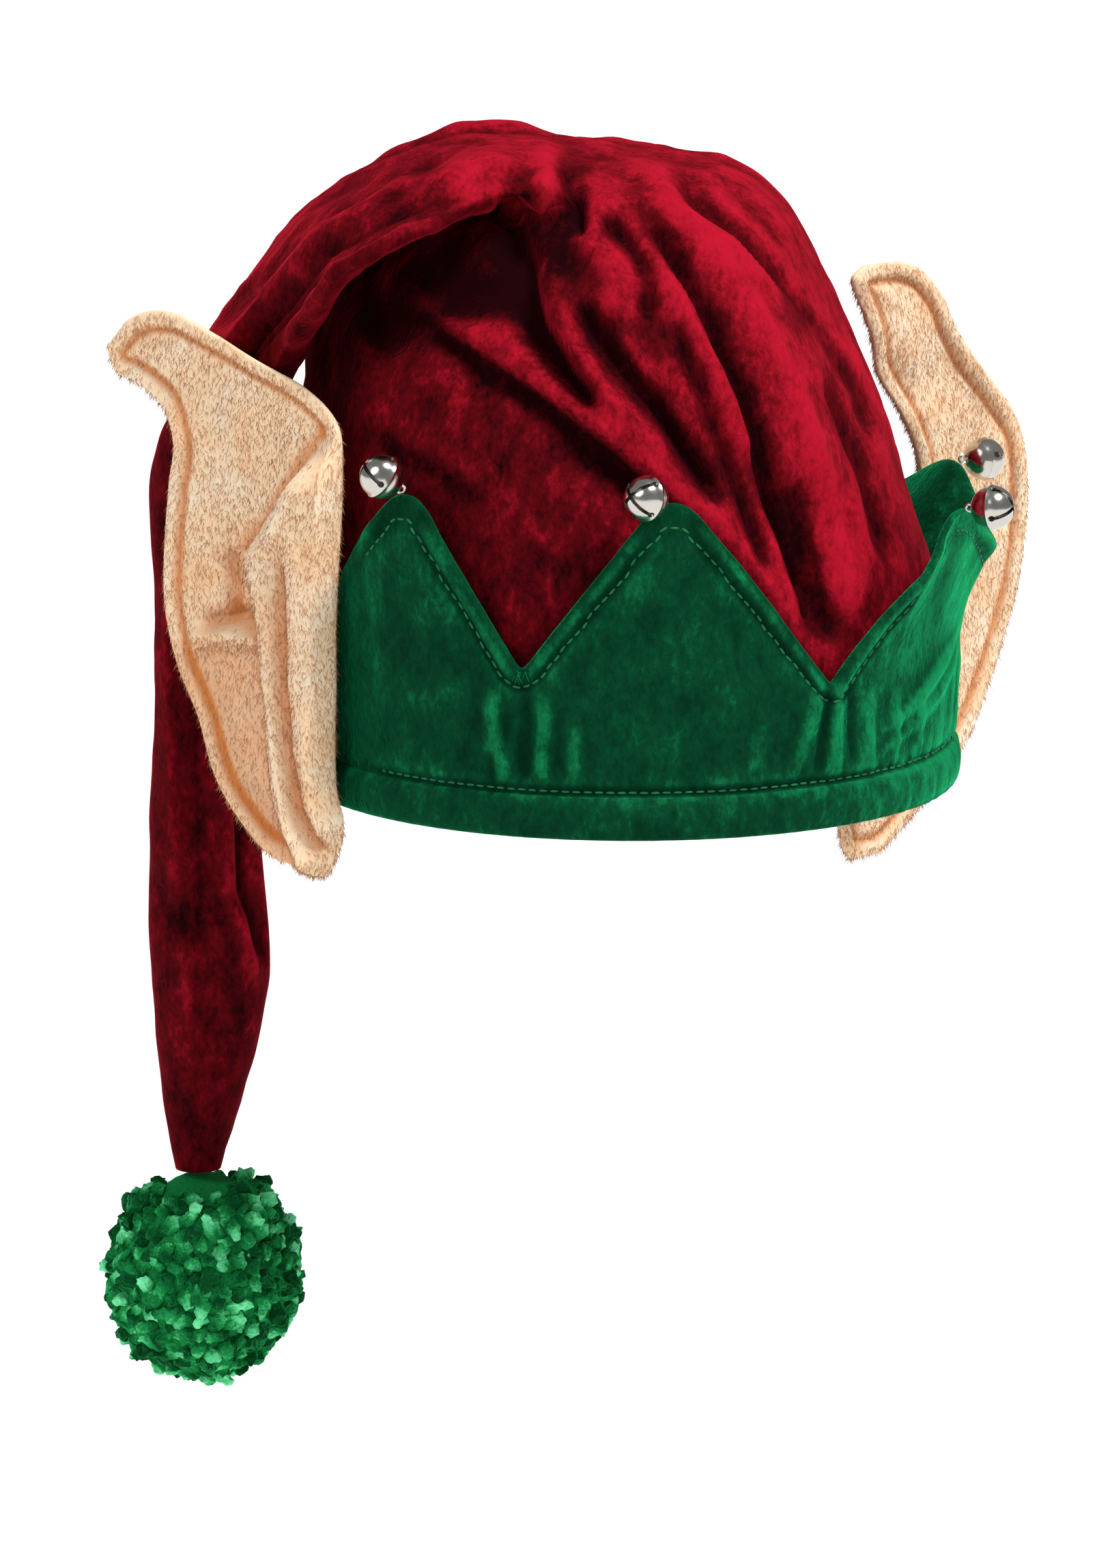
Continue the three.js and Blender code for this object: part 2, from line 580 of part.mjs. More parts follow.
function fromManifold(manifold) {
  const mesh = manifold.getMesh();
  const geometry = new THREE.BufferGeometry();
  geometry.setAttribute('position', new THREE.BufferAttribute(new Float32Array(mesh.vertProperties), 3));
  geometry.setIndex(new THREE.BufferAttribute(new Uint32Array(mesh.triVerts), 1));
  return geometry;
}

// One bell standing on its loop: petals and slots at +Z, loop at -Z, centre at the origin.
function bellManifold() {
  const arc = (radius, rim, rows) => {
    const points = [];
    for (let k = 0; k <= rows; k += 1) {
      const a = -Math.PI / 2 + Math.PI * k / rows;
      const r = radius * Math.cos(a) + (k === rows / 2 ? rim : 0);
      points.push(new THREE.Vector2(k === 0 || k === rows ? 0 : r, radius * Math.sin(a)));
    }
    return points;
  };
  const shell = toManifold(new THREE.LatheGeometry(arc(BELL_RADIUS, BELL_RIM, 6), 8));
  const hollow = toManifold(new THREE.LatheGeometry(arc(BELL_RADIUS - BELL_WALL, 0, 6), 8));
  const slotReach = BELL_RADIUS * 0.9;
  const slotDepth = BELL_RADIUS * 1.1;
  const slot = new THREE.BoxGeometry(slotReach * 2, slotDepth, BELL_SLOT);
  slot.translate(0, slotDepth / 2 + BELL_RADIUS * 0.12, 0);
  const crossSlot = slot.clone().rotateY(Math.PI / 2);
  const loop = new THREE.TorusGeometry(LOOP_RADIUS, LOOP_WIRE, 4, 7);
  loop.translate(0, -BELL_RADIUS - LOOP_RADIUS / 2, 0);
  return shell.add(toManifold(loop)).subtract(hollow)
    .subtract(toManifold(slot)).subtract(toManifold(crossSlot));
}

// Places of the bells against the tips of their points, in shares of the bell's reach from the tip's
// middle: out from the head, up, and along the cuff.
const BELL_PLACES = [
  { point: 'front', out: 0.72, up: 0.24, along: -0.92 },
  { point: 'right', out: 1.20, up: 0.10, along: 0.10 },
  { point: 'back_right', out: 1.05, up: -0.05, along: -0.20 },
  { point: 'back', out: 0.80, up: 0.85, along: 0.10 },
  { point: 'back_left', out: 0.80, up: 0.85, along: -0.10 },
  { point: 'left', out: 0.62, up: 0.46, along: -0.30 },
];

function bellPlace(row) {
  const point = POINTS.find((p) => p.name === row.point);
  const column = { at: point.tip, full: point.rise * POINT_HEIGHT, lean: point.lean * POINT_HEIGHT };
  const z = NOTCH_HEIGHT + column.full;
  const radius = cuffInside(column, z) + CUFF_CLOTH / 2;
  const tip = onCuff(column, radius, z);
  const a = rad(point.tip);
  const out = new THREE.Vector3(Math.sin(a), -Math.cos(a), 0);
  const along = new THREE.Vector3(Math.cos(a), Math.sin(a), 0);
  const reach = BELL_RADIUS + 1.5 * LOOP_RADIUS + LOOP_WIRE + CUFF_CLOTH / 2;
  const step = out.multiplyScalar(row.out).addScaledVector(along, row.along).setZ(row.up);
  const axis = step.clone().normalize();
  return { centre: tip.addScaledVector(step, reach), axis };
}

// Slides a piece along a direction that leads away from its seat until it lies CLEARANCE off it,
// and returns how far it went.
function seatOn(seat, geometry, away, reach) {
  let slide = 0;
  for (let round = 0; round < 5; round += 1) {
    const step = CLEARANCE - toManifold(geometry).minGap(seat, reach);
    geometry.translate(away.x * step, away.y * step, away.z * step);
    slide += step;
  }
  return slide;
}

function bellGeometries(cuff) {
  const bell = fromManifold(bellManifold());
  const pieces = [];
  for (const row of BELL_PLACES) {
    const { centre, axis } = bellPlace(row);
    const turn = new THREE.Quaternion().setFromUnitVectors(new THREE.Vector3(0, 1, 0), axis);
    const body = bell.clone().applyQuaternion(turn).translate(centre.x, centre.y, centre.z);
    centre.addScaledVector(axis, seatOn(cuff, body, axis, BELL_RADIUS));
    const pellet = new THREE.IcosahedronGeometry(PELLET_RADIUS, 0);
    const rest = (BELL_RADIUS - BELL_WALL) * FACET_SHARE - PELLET_RADIUS - CLEARANCE;
    pellet.translate(centre.x, centre.y, centre.z - rest);
    pieces.push({ name: `bell_${row.point}`, body, pellet });
  }
  return pieces;
}

// A repeatable spread value between 0 and 1 for a count.
function spread(k, salt) {
  const v = Math.sin(k * 12.9898 + salt * 78.233) * 43758.5453;
  return v - Math.floor(v);
}

// Size of the pompom's heart against the middles of its locks.
const HEART_SHARE = 1.14;

function pompomGeometry() {
  const wide = POMPOM_WIDTH / 2 - LOCK_RADIUS;
  const tall = POMPOM_HEIGHT / 2 - LOCK_RADIUS;
  const bottom = PEAK_TOP - PEAK_LENGTH;
  const centre = new THREE.Vector3(PEAK_X - POMPOM_SWING, PEAK_Y, bottom + SOCKET_DEPTH - POMPOM_HEIGHT / 2);
  const heart = new THREE.IcosahedronGeometry(HEART_SHARE, 1).scale(wide, wide, tall);
  let pompom = toManifold(heart);
  for (let k = 0; k < LOCK_COUNT; k += 1) {
    const up = 1 - 2 * (k + 0.5) / LOCK_COUNT;
    const turn = k * rad(137.5);
    const flat = Math.sqrt(1 - up * up);
    const direction = new THREE.Vector3(flat * Math.cos(turn), flat * Math.sin(turn), up);
    const lock = new THREE.IcosahedronGeometry(LOCK_RADIUS * mix(0.82, 1.02, spread(k, 1)), 0);
    lock.scale(0.95, 0.95, mix(0.85, 1.1, spread(k, 2)));
    lock.rotateZ(spread(k, 3) * 3);
    const lean = new THREE.Vector3(spread(k, 4) - 0.5, spread(k, 5) - 0.5, 0).add(direction).normalize();
    const tilt = new THREE.Quaternion().setFromUnitVectors(new THREE.Vector3(0, 0, 1), lean);
    lock.applyQuaternion(tilt);
    lock.translate(direction.x * wide, direction.y * wide, direction.z * tall);
    pompom = pompom.add(toManifold(lock));
  }
  const last = PEAK[PEAK.length - 1];
  const socketX = PEAK_X + (last.inner + last.outer) / 2 * PEAK_WIDTH;
  const socketWide = (last.inner - last.outer) * PEAK_WIDTH / 2 + SOCKET_ROOM;
  const socketDeep = last.depth * PEAK_DEPTH + SOCKET_ROOM;
  const socket = new THREE.CylinderGeometry(1, 1, SOCKET_DEPTH * 4, 12).rotateX(Math.PI / 2);
  socket.scale(socketWide, socketDeep, 1);
  socket.translate(socketX, PEAK_Y, bottom - CLEARANCE + SOCKET_DEPTH * 2);
  pompom = pompom.translate([centre.x, centre.y, centre.z]).subtract(toManifold(socket));
  return fromManifold(pompom);
}

const hat = new THREE.Group();
hat.name = 'elf_hat';

function addPiece(name, geometry, color, roughness, metalness) {
  const mesh = new THREE.Mesh(geometry, new THREE.MeshStandardMaterial({ color, roughness, metalness }));
  mesh.name = name;
  hat.add(mesh);
}

addPiece('crown', crownGeometry(), CRIMSON, 0.7, 0);
const cuffShape = cuffGeometry();
addPiece('cuff', cuffShape, GREEN, 0.7, 0);
const cuffSolid = toManifold(cuffShape);
for (const ear of EARS) {
  const away = new THREE.Vector3(Math.sin(rad(ear.at)), -Math.cos(rad(ear.at)), 0);
  const shape = earGeometry(ear);
  seatOn(cuffSolid, shape, away, EAR_WIDTH);
  addPiece(ear.name, shape, PEACH, 0.9, 0);
}
for (const piece of bellGeometries(cuffSolid)) {
  addPiece(piece.name, piece.body, NICKEL, 0.25, 1);
  addPiece(piece.name.replace('bell', 'pellet'), piece.pellet, NICKEL, 0.4, 1);
}
addPiece('pompom', pompomGeometry(), POMPOM_GREEN, 0.95, 0);

export default hat;
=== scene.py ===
import math

import bmesh
import bpy
import numpy as np
from mathutils import Matrix, Vector, noise


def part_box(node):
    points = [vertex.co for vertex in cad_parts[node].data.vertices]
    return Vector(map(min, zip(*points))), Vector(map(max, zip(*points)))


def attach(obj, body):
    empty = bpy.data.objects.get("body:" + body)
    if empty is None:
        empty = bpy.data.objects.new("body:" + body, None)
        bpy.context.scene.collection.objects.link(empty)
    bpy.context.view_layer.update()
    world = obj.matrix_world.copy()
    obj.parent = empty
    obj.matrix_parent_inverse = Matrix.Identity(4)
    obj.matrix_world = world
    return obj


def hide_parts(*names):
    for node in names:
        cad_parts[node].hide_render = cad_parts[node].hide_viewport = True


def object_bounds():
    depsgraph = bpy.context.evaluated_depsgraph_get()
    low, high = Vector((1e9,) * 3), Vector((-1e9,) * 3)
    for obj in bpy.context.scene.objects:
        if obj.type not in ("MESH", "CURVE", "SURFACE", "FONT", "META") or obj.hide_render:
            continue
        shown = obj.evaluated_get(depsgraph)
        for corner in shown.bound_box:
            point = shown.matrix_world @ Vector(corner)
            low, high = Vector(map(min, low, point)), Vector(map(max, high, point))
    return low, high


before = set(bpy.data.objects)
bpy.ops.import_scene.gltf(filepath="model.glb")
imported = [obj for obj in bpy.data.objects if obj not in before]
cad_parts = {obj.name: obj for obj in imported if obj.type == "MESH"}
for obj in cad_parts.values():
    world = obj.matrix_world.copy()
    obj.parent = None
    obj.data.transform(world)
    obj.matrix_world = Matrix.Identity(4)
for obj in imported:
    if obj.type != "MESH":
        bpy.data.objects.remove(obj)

cad_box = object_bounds()
MM = 0.001


def add_object(name, data):
    made = bpy.data.objects.new(name, data)
    bpy.context.scene.collection.objects.link(made)
    return made


# Camera. The photograph looks at the hat from straight in front and a little above, from about
# 2.4 m; its frame is 1607 x 2296, with the middle of the hem at pixel 922, 1134.
PHOTO = (1607, 2296)
HEM_PIXEL = (922, 1134)
PIXELS_PER_MM = 5.0
EYE_DISTANCE = 2400
EYE_ELEVATION = 11.5
SENSOR = 36

eye_rise = math.radians(EYE_ELEVATION)
eye_data = bpy.data.cameras.new("camera")
eye_data.sensor_width = SENSOR
eye_data.lens = PIXELS_PER_MM * EYE_DISTANCE / PHOTO[1] * SENSOR
eye_data.clip_end = 50
eye = add_object("camera", eye_data)
bpy.context.scene.camera = eye
eye_ahead = Vector((0, math.cos(eye_rise), -math.sin(eye_rise)))
eye_up = Vector((0, math.sin(eye_rise), math.cos(eye_rise)))
across = (PHOTO[0] / 2 - HEM_PIXEL[0]) / PIXELS_PER_MM
above = (HEM_PIXEL[1] - PHOTO[1] / 2) / PIXELS_PER_MM
eye.location = (-eye_ahead * EYE_DISTANCE + Vector((across, 0, 0)) + eye_up * above) * MM
eye.rotation_euler = (math.pi / 2 - eye_rise, 0, 0)


# Crown. A long stocking cap of red crushed velvet: it rises over the head, bends over to the left
# and hangs down as a narrow peak. Sections run from the crease side (ix, iz) to the outer side
# (ox, oz); depth is half the thickness front to back, egg narrows the crease side.
CROWN_RADIUS = 91.6
CROWN_TOP = 195
CROWN_START = 1.5
VELVET = 1.8
CROWN_AROUND = 264
CROWN_STEP = 2.1
PEAK_STEP = 3.0
CROWDING = 0.28
LIFT_IN, LIFT_OUT = 11, 7
DOME_END = 9.5
POINT_ROOM, FREE_ROOM = 0.8, 5.0
LINING_LIFT = 0.5
# The deep colour also serves as painted shade in the valleys and the gleam colour as painted highlight on
# the ridges; both also tint random crush patches.
CRIMSON_DEEP, CRIMSON, CRIMSON_GLEAM = 0x1C0003, 0x660510, 0xC4162F

DOME = [
    # ix, iz, iy, ox, oz, oy, depth, egg
    (-1.00, 0.00, 0.00, 1.00, 0.00, 0.00, 1.00, 0.00),
    (-1.00, 0.13, 0.00, 1.00, 0.13, 0.00, 1.00, 0.00),
    (-1.00, 0.25, 0.00, 0.99, 0.25, 0.00, 1.00, 0.00),
    (-1.01, 0.38, 0.00, 0.92, 0.38, 0.00, 0.99, 0.00),
    (-1.03, 0.50, 0.00, 0.84, 0.50, 0.00, 0.96, 0.06),
    (-1.035, 0.60, 0.01, 0.75, 0.62, 0.00, 0.90, 0.15),
    (-1.00, 0.70, 0.04, 0.625, 0.755, 0.01, 0.82, 0.20),
    (-0.87, 0.785, 0.06, 0.50, 0.86, 0.02, 0.70, 0.18),
    (-0.68, 0.838, 0.05, 0.32, 0.92, 0.02, 0.60, 0.14),
    (-0.48, 0.858, -0.02, 0.00, 0.945, 0.02, 0.53, 0.06),
    (-0.49, 0.864, -0.20, -0.43, 0.965, 0.03, 0.46, -0.10),
    (-0.69, 0.843, -0.46, -0.73, 0.935, 0.03, 0.40, -0.20),
    (-0.87, 0.79, -0.48, -1.01, 0.862, 0.05, 0.33, -0.18),
    (-0.965, 0.712, -0.36, -1.18, 0.765, 0.07, 0.26, -0.12),
    (-1.05, 0.632, -0.11, -1.33, 0.67, 0.09, 0.20, -0.06),
    (-1.125, 0.52, 0.03, -1.46, 0.55, 0.10, 0.16, 0.00),
]

PEAK_X, PEAK_Y, PEAK_TOP, PEAK_LENGTH, PEAK_WIDTH, PEAK_DEPTH = -123, 10, 84, 205, 34, 24
PEAK = [
    # down, inner, outer, depth
    (0.00, 0.48, -0.50, 0.50),
    (0.16, 0.46, -0.48, 0.48),
    (0.36, 0.44, -0.49, 0.46),
    (0.52, 0.43, -0.54, 0.48),
    (0.65, 0.50, -0.55, 0.50),
    (0.76, 0.46, -0.52, 0.44),
    (0.88, 0.28, -0.46, 0.36),
    (1.00, 0.06, -0.34, 0.30),
]

# Folds, each along a line of (x, z) in mm, on the front (-1) or the back (1) of the dome (0), the
# peak (1) or both (2): lift out or in, reach on the left and right of the line, droop of its edge.
FOLDS = [
    (-1, 1, -3.5, 2.5, 2.5, 0.0, [(-119, 130), (-105.6, 147.8), (-91, 166.3), (-66.5, 180.3), (-46, 186)]),
    (-1, 2, 5.0, 3, 2.5, 0.0, [(-125, 105), (-114.7, 128.8), (-102.5, 146), (-89, 164), (-66, 177.5),
                               (-41, 183), (-14, 184)]),
    (-1, 1, -6.0, 3, 2.5, 0.0, [(-118, 108), (-109, 127), (-98, 144), (-86, 161), (-65, 173.5), (-42, 178)]),
    (-1, 1, 4.0, 2.5, 2.5, 0.0, [(-110, 103), (-102.5, 125), (-93.3, 141.4), (-83, 157.5), (-64, 169),
                                 (-46, 173)]),
    (-1, 0, -7.0, 7, 7, 0.0, [(-78, 134), (-66, 140), (-50, 146), (-38, 150), (-26, 153)]),
    (-1, 0, -9.0, 3, 3, 0.0, [(-33, 185), (-35, 176), (-37, 166)]),
    (-1, 0, 5.0, 4, 3, 0.0, [(-26, 188), (-26, 178), (-22, 169)]),
    (-1, 0, -5.0, 2.2, 2.6, 0.0, [(-19, 185), (-16, 175), (-13, 165)]),
    (-1, 0, 5.0, 8, 5, 1.5, [(-18, 168), (-10, 164), (-4, 154), (-6, 144)]),
    (-1, 0, -4.0, 2.5, 3, 0.0, [(-10, 172), (-2, 166), (5, 156), (4, 144)]),
    (-1, 0, -13.0, 4, 3.2, 0.0, [(-34, 170), (-32, 156), (-28, 143), (-20, 132), (-8, 120)]),
    (-1, 0, 6.0, 2.6, 3.0, 0.0, [(-26, 162), (-21, 145), (-13, 131), (0, 118), (12, 106)]),
    (-1, 0, -6.5, 2.5, 3.5, 0.0, [(-17, 152), (-8, 139), (7, 121), (19, 103), (27, 92)]),
    (-1, 0, 5.5, 5, 1.8, 1.2, [(-74, 150), (-62, 146), (-50, 141), (-26, 128), (-6, 114), (15, 93),
                               (34, 71), (50, 48)]),
    (-1, 0, -6.0, 1.8, 6, 0.0, [(-64, 142), (-45, 135), (-24, 122), (-3, 107), (18, 85), (38, 62)]),
    (-1, 0, 2.5, 4, 2.2, 0.0, [(-84, 118), (-62, 110), (-38, 96), (-16, 78)]),
    (-1, 0, -2.0, 2.2, 5, 0.0, [(-80, 112), (-58, 104), (-34, 90)]),
    (-1, 0, 4.0, 3.5, 2.6, 0.0, [(14, 172), (30, 152), (43, 128), (54, 98), (60, 70), (66, 50)]),
    (-1, 0, -7.5, 2.6, 3, 0.0, [(-2, 180), (11, 163), (22, 143), (31, 124), (42, 90), (54, 52)]),
    (-1, 0, 4.5, 2.6, 3, 0.0, [(3, 168), (16, 150), (26, 128), (36, 100), (47, 66), (53, 50)]),
    (-1, 0, -3.5, 2, 2.4, 0.0, [(10, 148), (20, 126), (30, 98), (40, 70)]),
    (-1, 0, 3.5, 2.6, 2.6, 0.0, [(-2, 184), (29, 162), (52, 142), (67, 120), (73, 108)]),
    (-1, 0, -5.5, 2.2, 2.6, 0.0, [(9, 183), (30, 166), (52, 141), (66, 119), (72, 99)]),
    (-1, 0, -5.5, 2.4, 2.8, 0.0, [(31, 112), (44, 82), (54, 52)]),
    (-1, 0, -5.0, 2, 2.4, 0.0, [(44, 100), (52, 71), (58, 50)]),
    (-1, 0, 3.5, 2, 2.4, 0.0, [(60, 96), (66, 74), (70, 54)]),
    (-1, 0, -4.0, 2.4, 2.2, 0.0, [(54, 128), (66, 98), (74, 70)]),
    (-1, 1, 2.6, 2.5, 4, 0.0, [(-134, 70), (-134, 15), (-132.5, -20), (-133, -45)]),
    (-1, 1, -1.8, 4, 2, 0.0, [(-128, 60), (-127, 10), (-126, -30), (-127, -60)]),
    (-1, 1, 2.4, 3, 4, 0.0, [(-130, -44), (-129.5, -66), (-129.5, -88)]),
    (-1, 1, -3.6, 4.5, 1.5, 0.0, [(-114.5, 10), (-114.5, -16), (-114, -36), (-110.5, -45), (-107, -62)]),
    (-1, 1, 2.0, 2, 3, 0.0, [(-117, 12), (-117.5, -16), (-117, -36), (-113, -46), (-109.5, -64)]),
    (1, 0, -4.5, 8, 9, 0.0, [(-46, 158), (-28, 136), (-10, 92), (4, 60)]),
    (1, 0, 5.0, 9, 7, 1.0, [(-20, 176), (18, 146), (37, 82), (44, 52)]),
    (1, 0, -4.5, 6, 8, 0.0, [(-87, 129), (-55, 105), (-41, 66)]),
    (1, 0, -4.5, 6, 6, 0.0, [(-4, 182), (34, 140), (52, 88), (58, 54)]),
    (1, 0, 4.0, 6, 8, 1.0, [(-74, 148), (-34, 116), (-12, 78), (-6, 54)]),
    (1, 2, 3.5, 6, 5, 0.0, [(-112, 136), (-82, 165), (-50, 186), (-20, 190)]),
    (1, 1, -3.0, 6, 5, 0.0, [(-104, 138), (-78, 158), (-48, 176)]),
    (1, 0, -6.0, 8, 8, 0.0, [(-84, 140), (-66, 152), (-44, 160), (-28, 158)]),
    (1, 1, 2.2, 3, 4, 0.0, [(-128, 62), (-126, 0), (-128, -60), (-130, -95)]),
    (1, 0, -2.4, 1.5, 1.5, 0.0, [(2, 50), (0, 90), (-6, 130), (-18, 160), (-36, 178)]),
    (1, 1, -2.0, 1.4, 1.4, 0.0, [(-62, 172), (-96, 138), (-116, 96), (-124, 50), (-124, -20), (-124, -100)]),
]

# The hollow between the dome and the bent-over cloth, where the pile gets no light.
UNDER_BEND = [(-92, 118), (-84, 138), (-66, 156), (-46, 164), (-26, 160)]
NOTCH_HEIGHT, POINT_HEIGHT, POINT_STAND = 49, 48, 3.2


def smooth(t):
    t = np.clip(t, 0, 1)
    return t * t * (3 - 2 * t)


def mix(a, b, t):
    return a + (b - a) * t


def blend(rows, place):
    last = len(rows) - 1
    i = np.minimum(np.floor(place).astype(int), last - 1)
    t = (place - i)[:, None]
    a, b, c, d = (rows[np.clip(i + k, 0, last)] for k in (-1, 0, 1, 2))
    return b + 0.5 * ((c - a) * t + (2 * a - 5 * b + 4 * c - d) * t ** 2
                      + (3 * b - a - 3 * c + d) * t ** 3)


def crown_table():
    rows = []
    for ix, iz, iy, ox, oz, oy, depth, egg in DOME:
        rows.append((ix * CROWN_RADIUS, max(CROWN_START, iz * CROWN_TOP), iy * CROWN_RADIUS,
                     ox * CROWN_RADIUS, max(CROWN_START, oz * CROWN_TOP), oy * CROWN_RADIUS,
                     depth * CROWN_RADIUS, egg))
    for down, inner, outer, depth in PEAK:
        z = PEAK_TOP - down * PEAK_LENGTH
        rows.append((PEAK_X + inner * PEAK_WIDTH, z, PEAK_Y, PEAK_X + outer * PEAK_WIDTH, z, PEAK_Y,
                     depth * PEAK_DEPTH, 0))
    return np.array(rows, float)


def crown_surface(table, places, turns):
    row = blend(table, places)[:, None, :]
    cos, sin = np.cos(turns)[None, :], np.sin(turns)[None, :]
    out = 0.5 + 0.5 * cos
    x, z, y = (mix(row[..., k], row[..., k + 3], out) for k in range(3))
    return np.stack([x, y + row[..., 6] * sin * (1 + row[..., 7] * cos), z], -1)


def grid_normals(points):
    around = np.roll(points, -1, 1) - np.roll(points, 1, 1)
    up = np.gradient(points, axis=0)
    n = np.cross(around, up)
    return n / np.maximum(np.linalg.norm(n, axis=-1, keepdims=True), 1e-9)


def to_line(x, z, line):
    """Distance to a line of (x, z) points, its side (+ on the left) and the share run along it."""
    best = np.full(x.shape, 1e9)
    side = np.zeros(x.shape)
    share = np.zeros(x.shape)
    lengths = [math.dist(a, b) for a, b in zip(line, line[1:])]
    total, run = sum(lengths), 0.0
    for (ax, az), (bx, bz), length in zip(line, line[1:], lengths):
        lx, lz = bx - ax, bz - az
        t = np.clip(((x - ax) * lx + (z - az) * lz) / (lx * lx + lz * lz), 0, 1)
        dx, dz = x - ax - lx * t, z - az - lz * t
        d = np.hypot(dx, dz)
        near = d < best
        best = np.where(near, d, best)
        side = np.where(near, lx * dz - lz * dx, side)
        share = np.where(near, (run + t * length) / total, share)
        run += length
    return best, side, share


def add_folds(points, facing, places):
    lift = np.zeros(facing.shape)
    droop = np.zeros(facing.shape)
    x, z = points[..., 0], points[..., 2]
    on_peak = smooth((places[:, None] - 9.2) / 0.6)
    parts = (1 - on_peak, on_peak, 1)
    for front, part, height, left, right, edge, line in FOLDS:
        d, side, share = to_line(x, z, line)
        reach = np.where(side > 0, left, right)
        shape = np.exp(-(d / reach) ** 1.4) * smooth(share / 0.16) * smooth((1 - share) / 0.16)
        shape = shape * smooth((front * facing - 0.06) / 0.34) * parts[part]
        lift += height * shape
        droop += edge * shape
    return lift, droop


def wrinkle(points, size, stretch, salt):
    """Soft noise from -1 to 1 over points, size in mm, drawn out along a direction in x and z."""
    out = np.empty(points.shape[:-1])
    flat, result = points.reshape(-1, 3), out.reshape(-1)
    along = np.array((0.62, 0, -0.78))
    run = flat @ along
    squeezed = (flat - run[:, None] * along * (1 - 1 / stretch)) / size + salt
    for k, p in enumerate(squeezed):
        result[k] = noise.noise(Vector(p))
    return out


def mesh_object(name, vertices, faces, material=None):
    mesh = bpy.data.meshes.new(name)
    mesh.from_pydata((np.asarray(vertices, float) * MM).tolist(), [], faces)
    mesh.validate()
    for polygon in mesh.polygons:
        polygon.use_smooth = True
    if material:
        mesh.materials.append(material)
    return add_object(name, mesh)


def strip(faces, lower, upper, count, inward=False):
    for i in range(count):
        j = (i + 1) % count
        quad = (lower + i, lower + j, upper + j, upper + i)
        faces.append(quad[::-1] if inward else quad)


def linear(colour):
    parts = [(colour >> shift & 255) / 255 for shift in (16, 8, 0)]
    return tuple(c / 12.92 if c <= 0.04045 else ((c + 0.055) / 1.055) ** 2.4 for c in parts) + (1,)


def add_node(tree, kind, links=None, **settings):
    made = tree.nodes.new(kind)
    for key, value in settings.items():
        setattr(made, key, value)
    for key, value in (links or {}).items():
        if isinstance(value, bpy.types.Node):
            value = value.outputs[0]
        if isinstance(value, bpy.types.NodeSocket):
            tree.links.new(value, made.inputs[key])
        else:
            made.inputs[key].default_value = value
    return made


def new_material(name):
    made = bpy.data.materials.new(name)
    made.use_nodes = True
    made.node_tree.nodes.clear()
    return made, made.node_tree


def velvet(name, deep, pile, gleam, patch, crush, tint):
    """Crushed polyester velvet: dull dense pile, dark where it stands toward the eye and lighter in
    small drawn-out patches (sizes in mm), with a bright sheen at grazing angles. Its colour also has
    painted shade in the valleys and painted highlight on the ridges and on the side toward the key lamp."""
    made, tree = new_material(name)
    where = add_node(tree, "ShaderNodeTexCoord").outputs["Object"]
    drawn = add_node(tree, "ShaderNodeMapping", {"Vector": where, "Rotation": (0.0, 0.6, 0.0),
        "Scale": (1.0, 1.0, 0.6)})
    broad = add_node(tree, "ShaderNodeTexNoise", {"Vector": drawn, "Scale": 1000 / patch, "Detail": 4.0,
        "Roughness": 0.6, "Distortion": 0.4})
    fine = add_node(tree, "ShaderNodeTexNoise", {"Vector": drawn, "Scale": 1000 / crush, "Detail": 5.0,
        "Roughness": 0.7, "Distortion": 0.3})
    grain = add_node(tree, "ShaderNodeTexNoise", {"Vector": where, "Scale": 1000 / 0.7, "Detail": 2.0})
    # Painted shade and painted highlight: a point attribute darkens the valleys toward the deep colour and
    # lightens the ridges and the lamp side toward the gleam colour, mixed with random crush patches.
    painted_light = add_node(tree, "ShaderNodeAttribute", attribute_name="painted_light")
    mixed = add_node(tree, "ShaderNodeMath", {0: fine, 1: 0.9, 2: broad}, operation="MULTIPLY_ADD")
    both = add_node(tree, "ShaderNodeMath", {0: painted_light.outputs["Fac"], 1: 0.42, 2: mixed},
        operation="MULTIPLY_ADD")
    patch_and_painted_highlight = add_node(tree, "ShaderNodeMapRange", {"Value": both, "From Min": 0.92, "From Max": 1.62},
        interpolation_type="SMOOTHSTEP")
    patch_and_painted_shade = add_node(tree, "ShaderNodeMapRange", {"Value": both, "From Min": 0.42, "From Max": 1.20},
        interpolation_type="SMOOTHSTEP")
    ground = add_node(tree, "ShaderNodeMix", {"Factor": patch_and_painted_shade, 6: linear(deep), 7: linear(pile)},
        data_type="RGBA")
    soft = add_node(tree, "ShaderNodeMath", {0: patch_and_painted_highlight, 1: 0.8}, operation="MULTIPLY")
    colour = add_node(tree, "ShaderNodeMix", {"Factor": soft, 6: ground.outputs[2], 7: linear(gleam)},
        data_type="RGBA")
    height = add_node(tree, "ShaderNodeMath", {0: broad, 1: 1.4, 2: fine}, operation="MULTIPLY_ADD")
    relief = add_node(tree, "ShaderNodeBump", {"Height": height, "Strength": 0.5, "Distance": 1.0 * MM})
    nap = add_node(tree, "ShaderNodeBump", {"Height": grain, "Strength": 0.35, "Distance": 0.3 * MM,
        "Normal": relief})
    shader = add_node(tree, "ShaderNodeBsdfPrincipled", {
        "Base Color": colour.outputs[2], "Roughness": 0.85, "Specular IOR Level": 0.04,
        "Sheen Weight": 0.8, "Sheen Roughness": 0.3, "Sheen Tint": linear(tint),
        "Normal": nap})
    add_node(tree, "ShaderNodeOutputMaterial", {"Surface": shader})
    return made


def set_attribute(made, name, values):
    layer = made.data.attributes.new(name, "FLOAT", "POINT")
    layer.data.foreach_set("value", np.asarray(values, np.float32).reshape(-1))


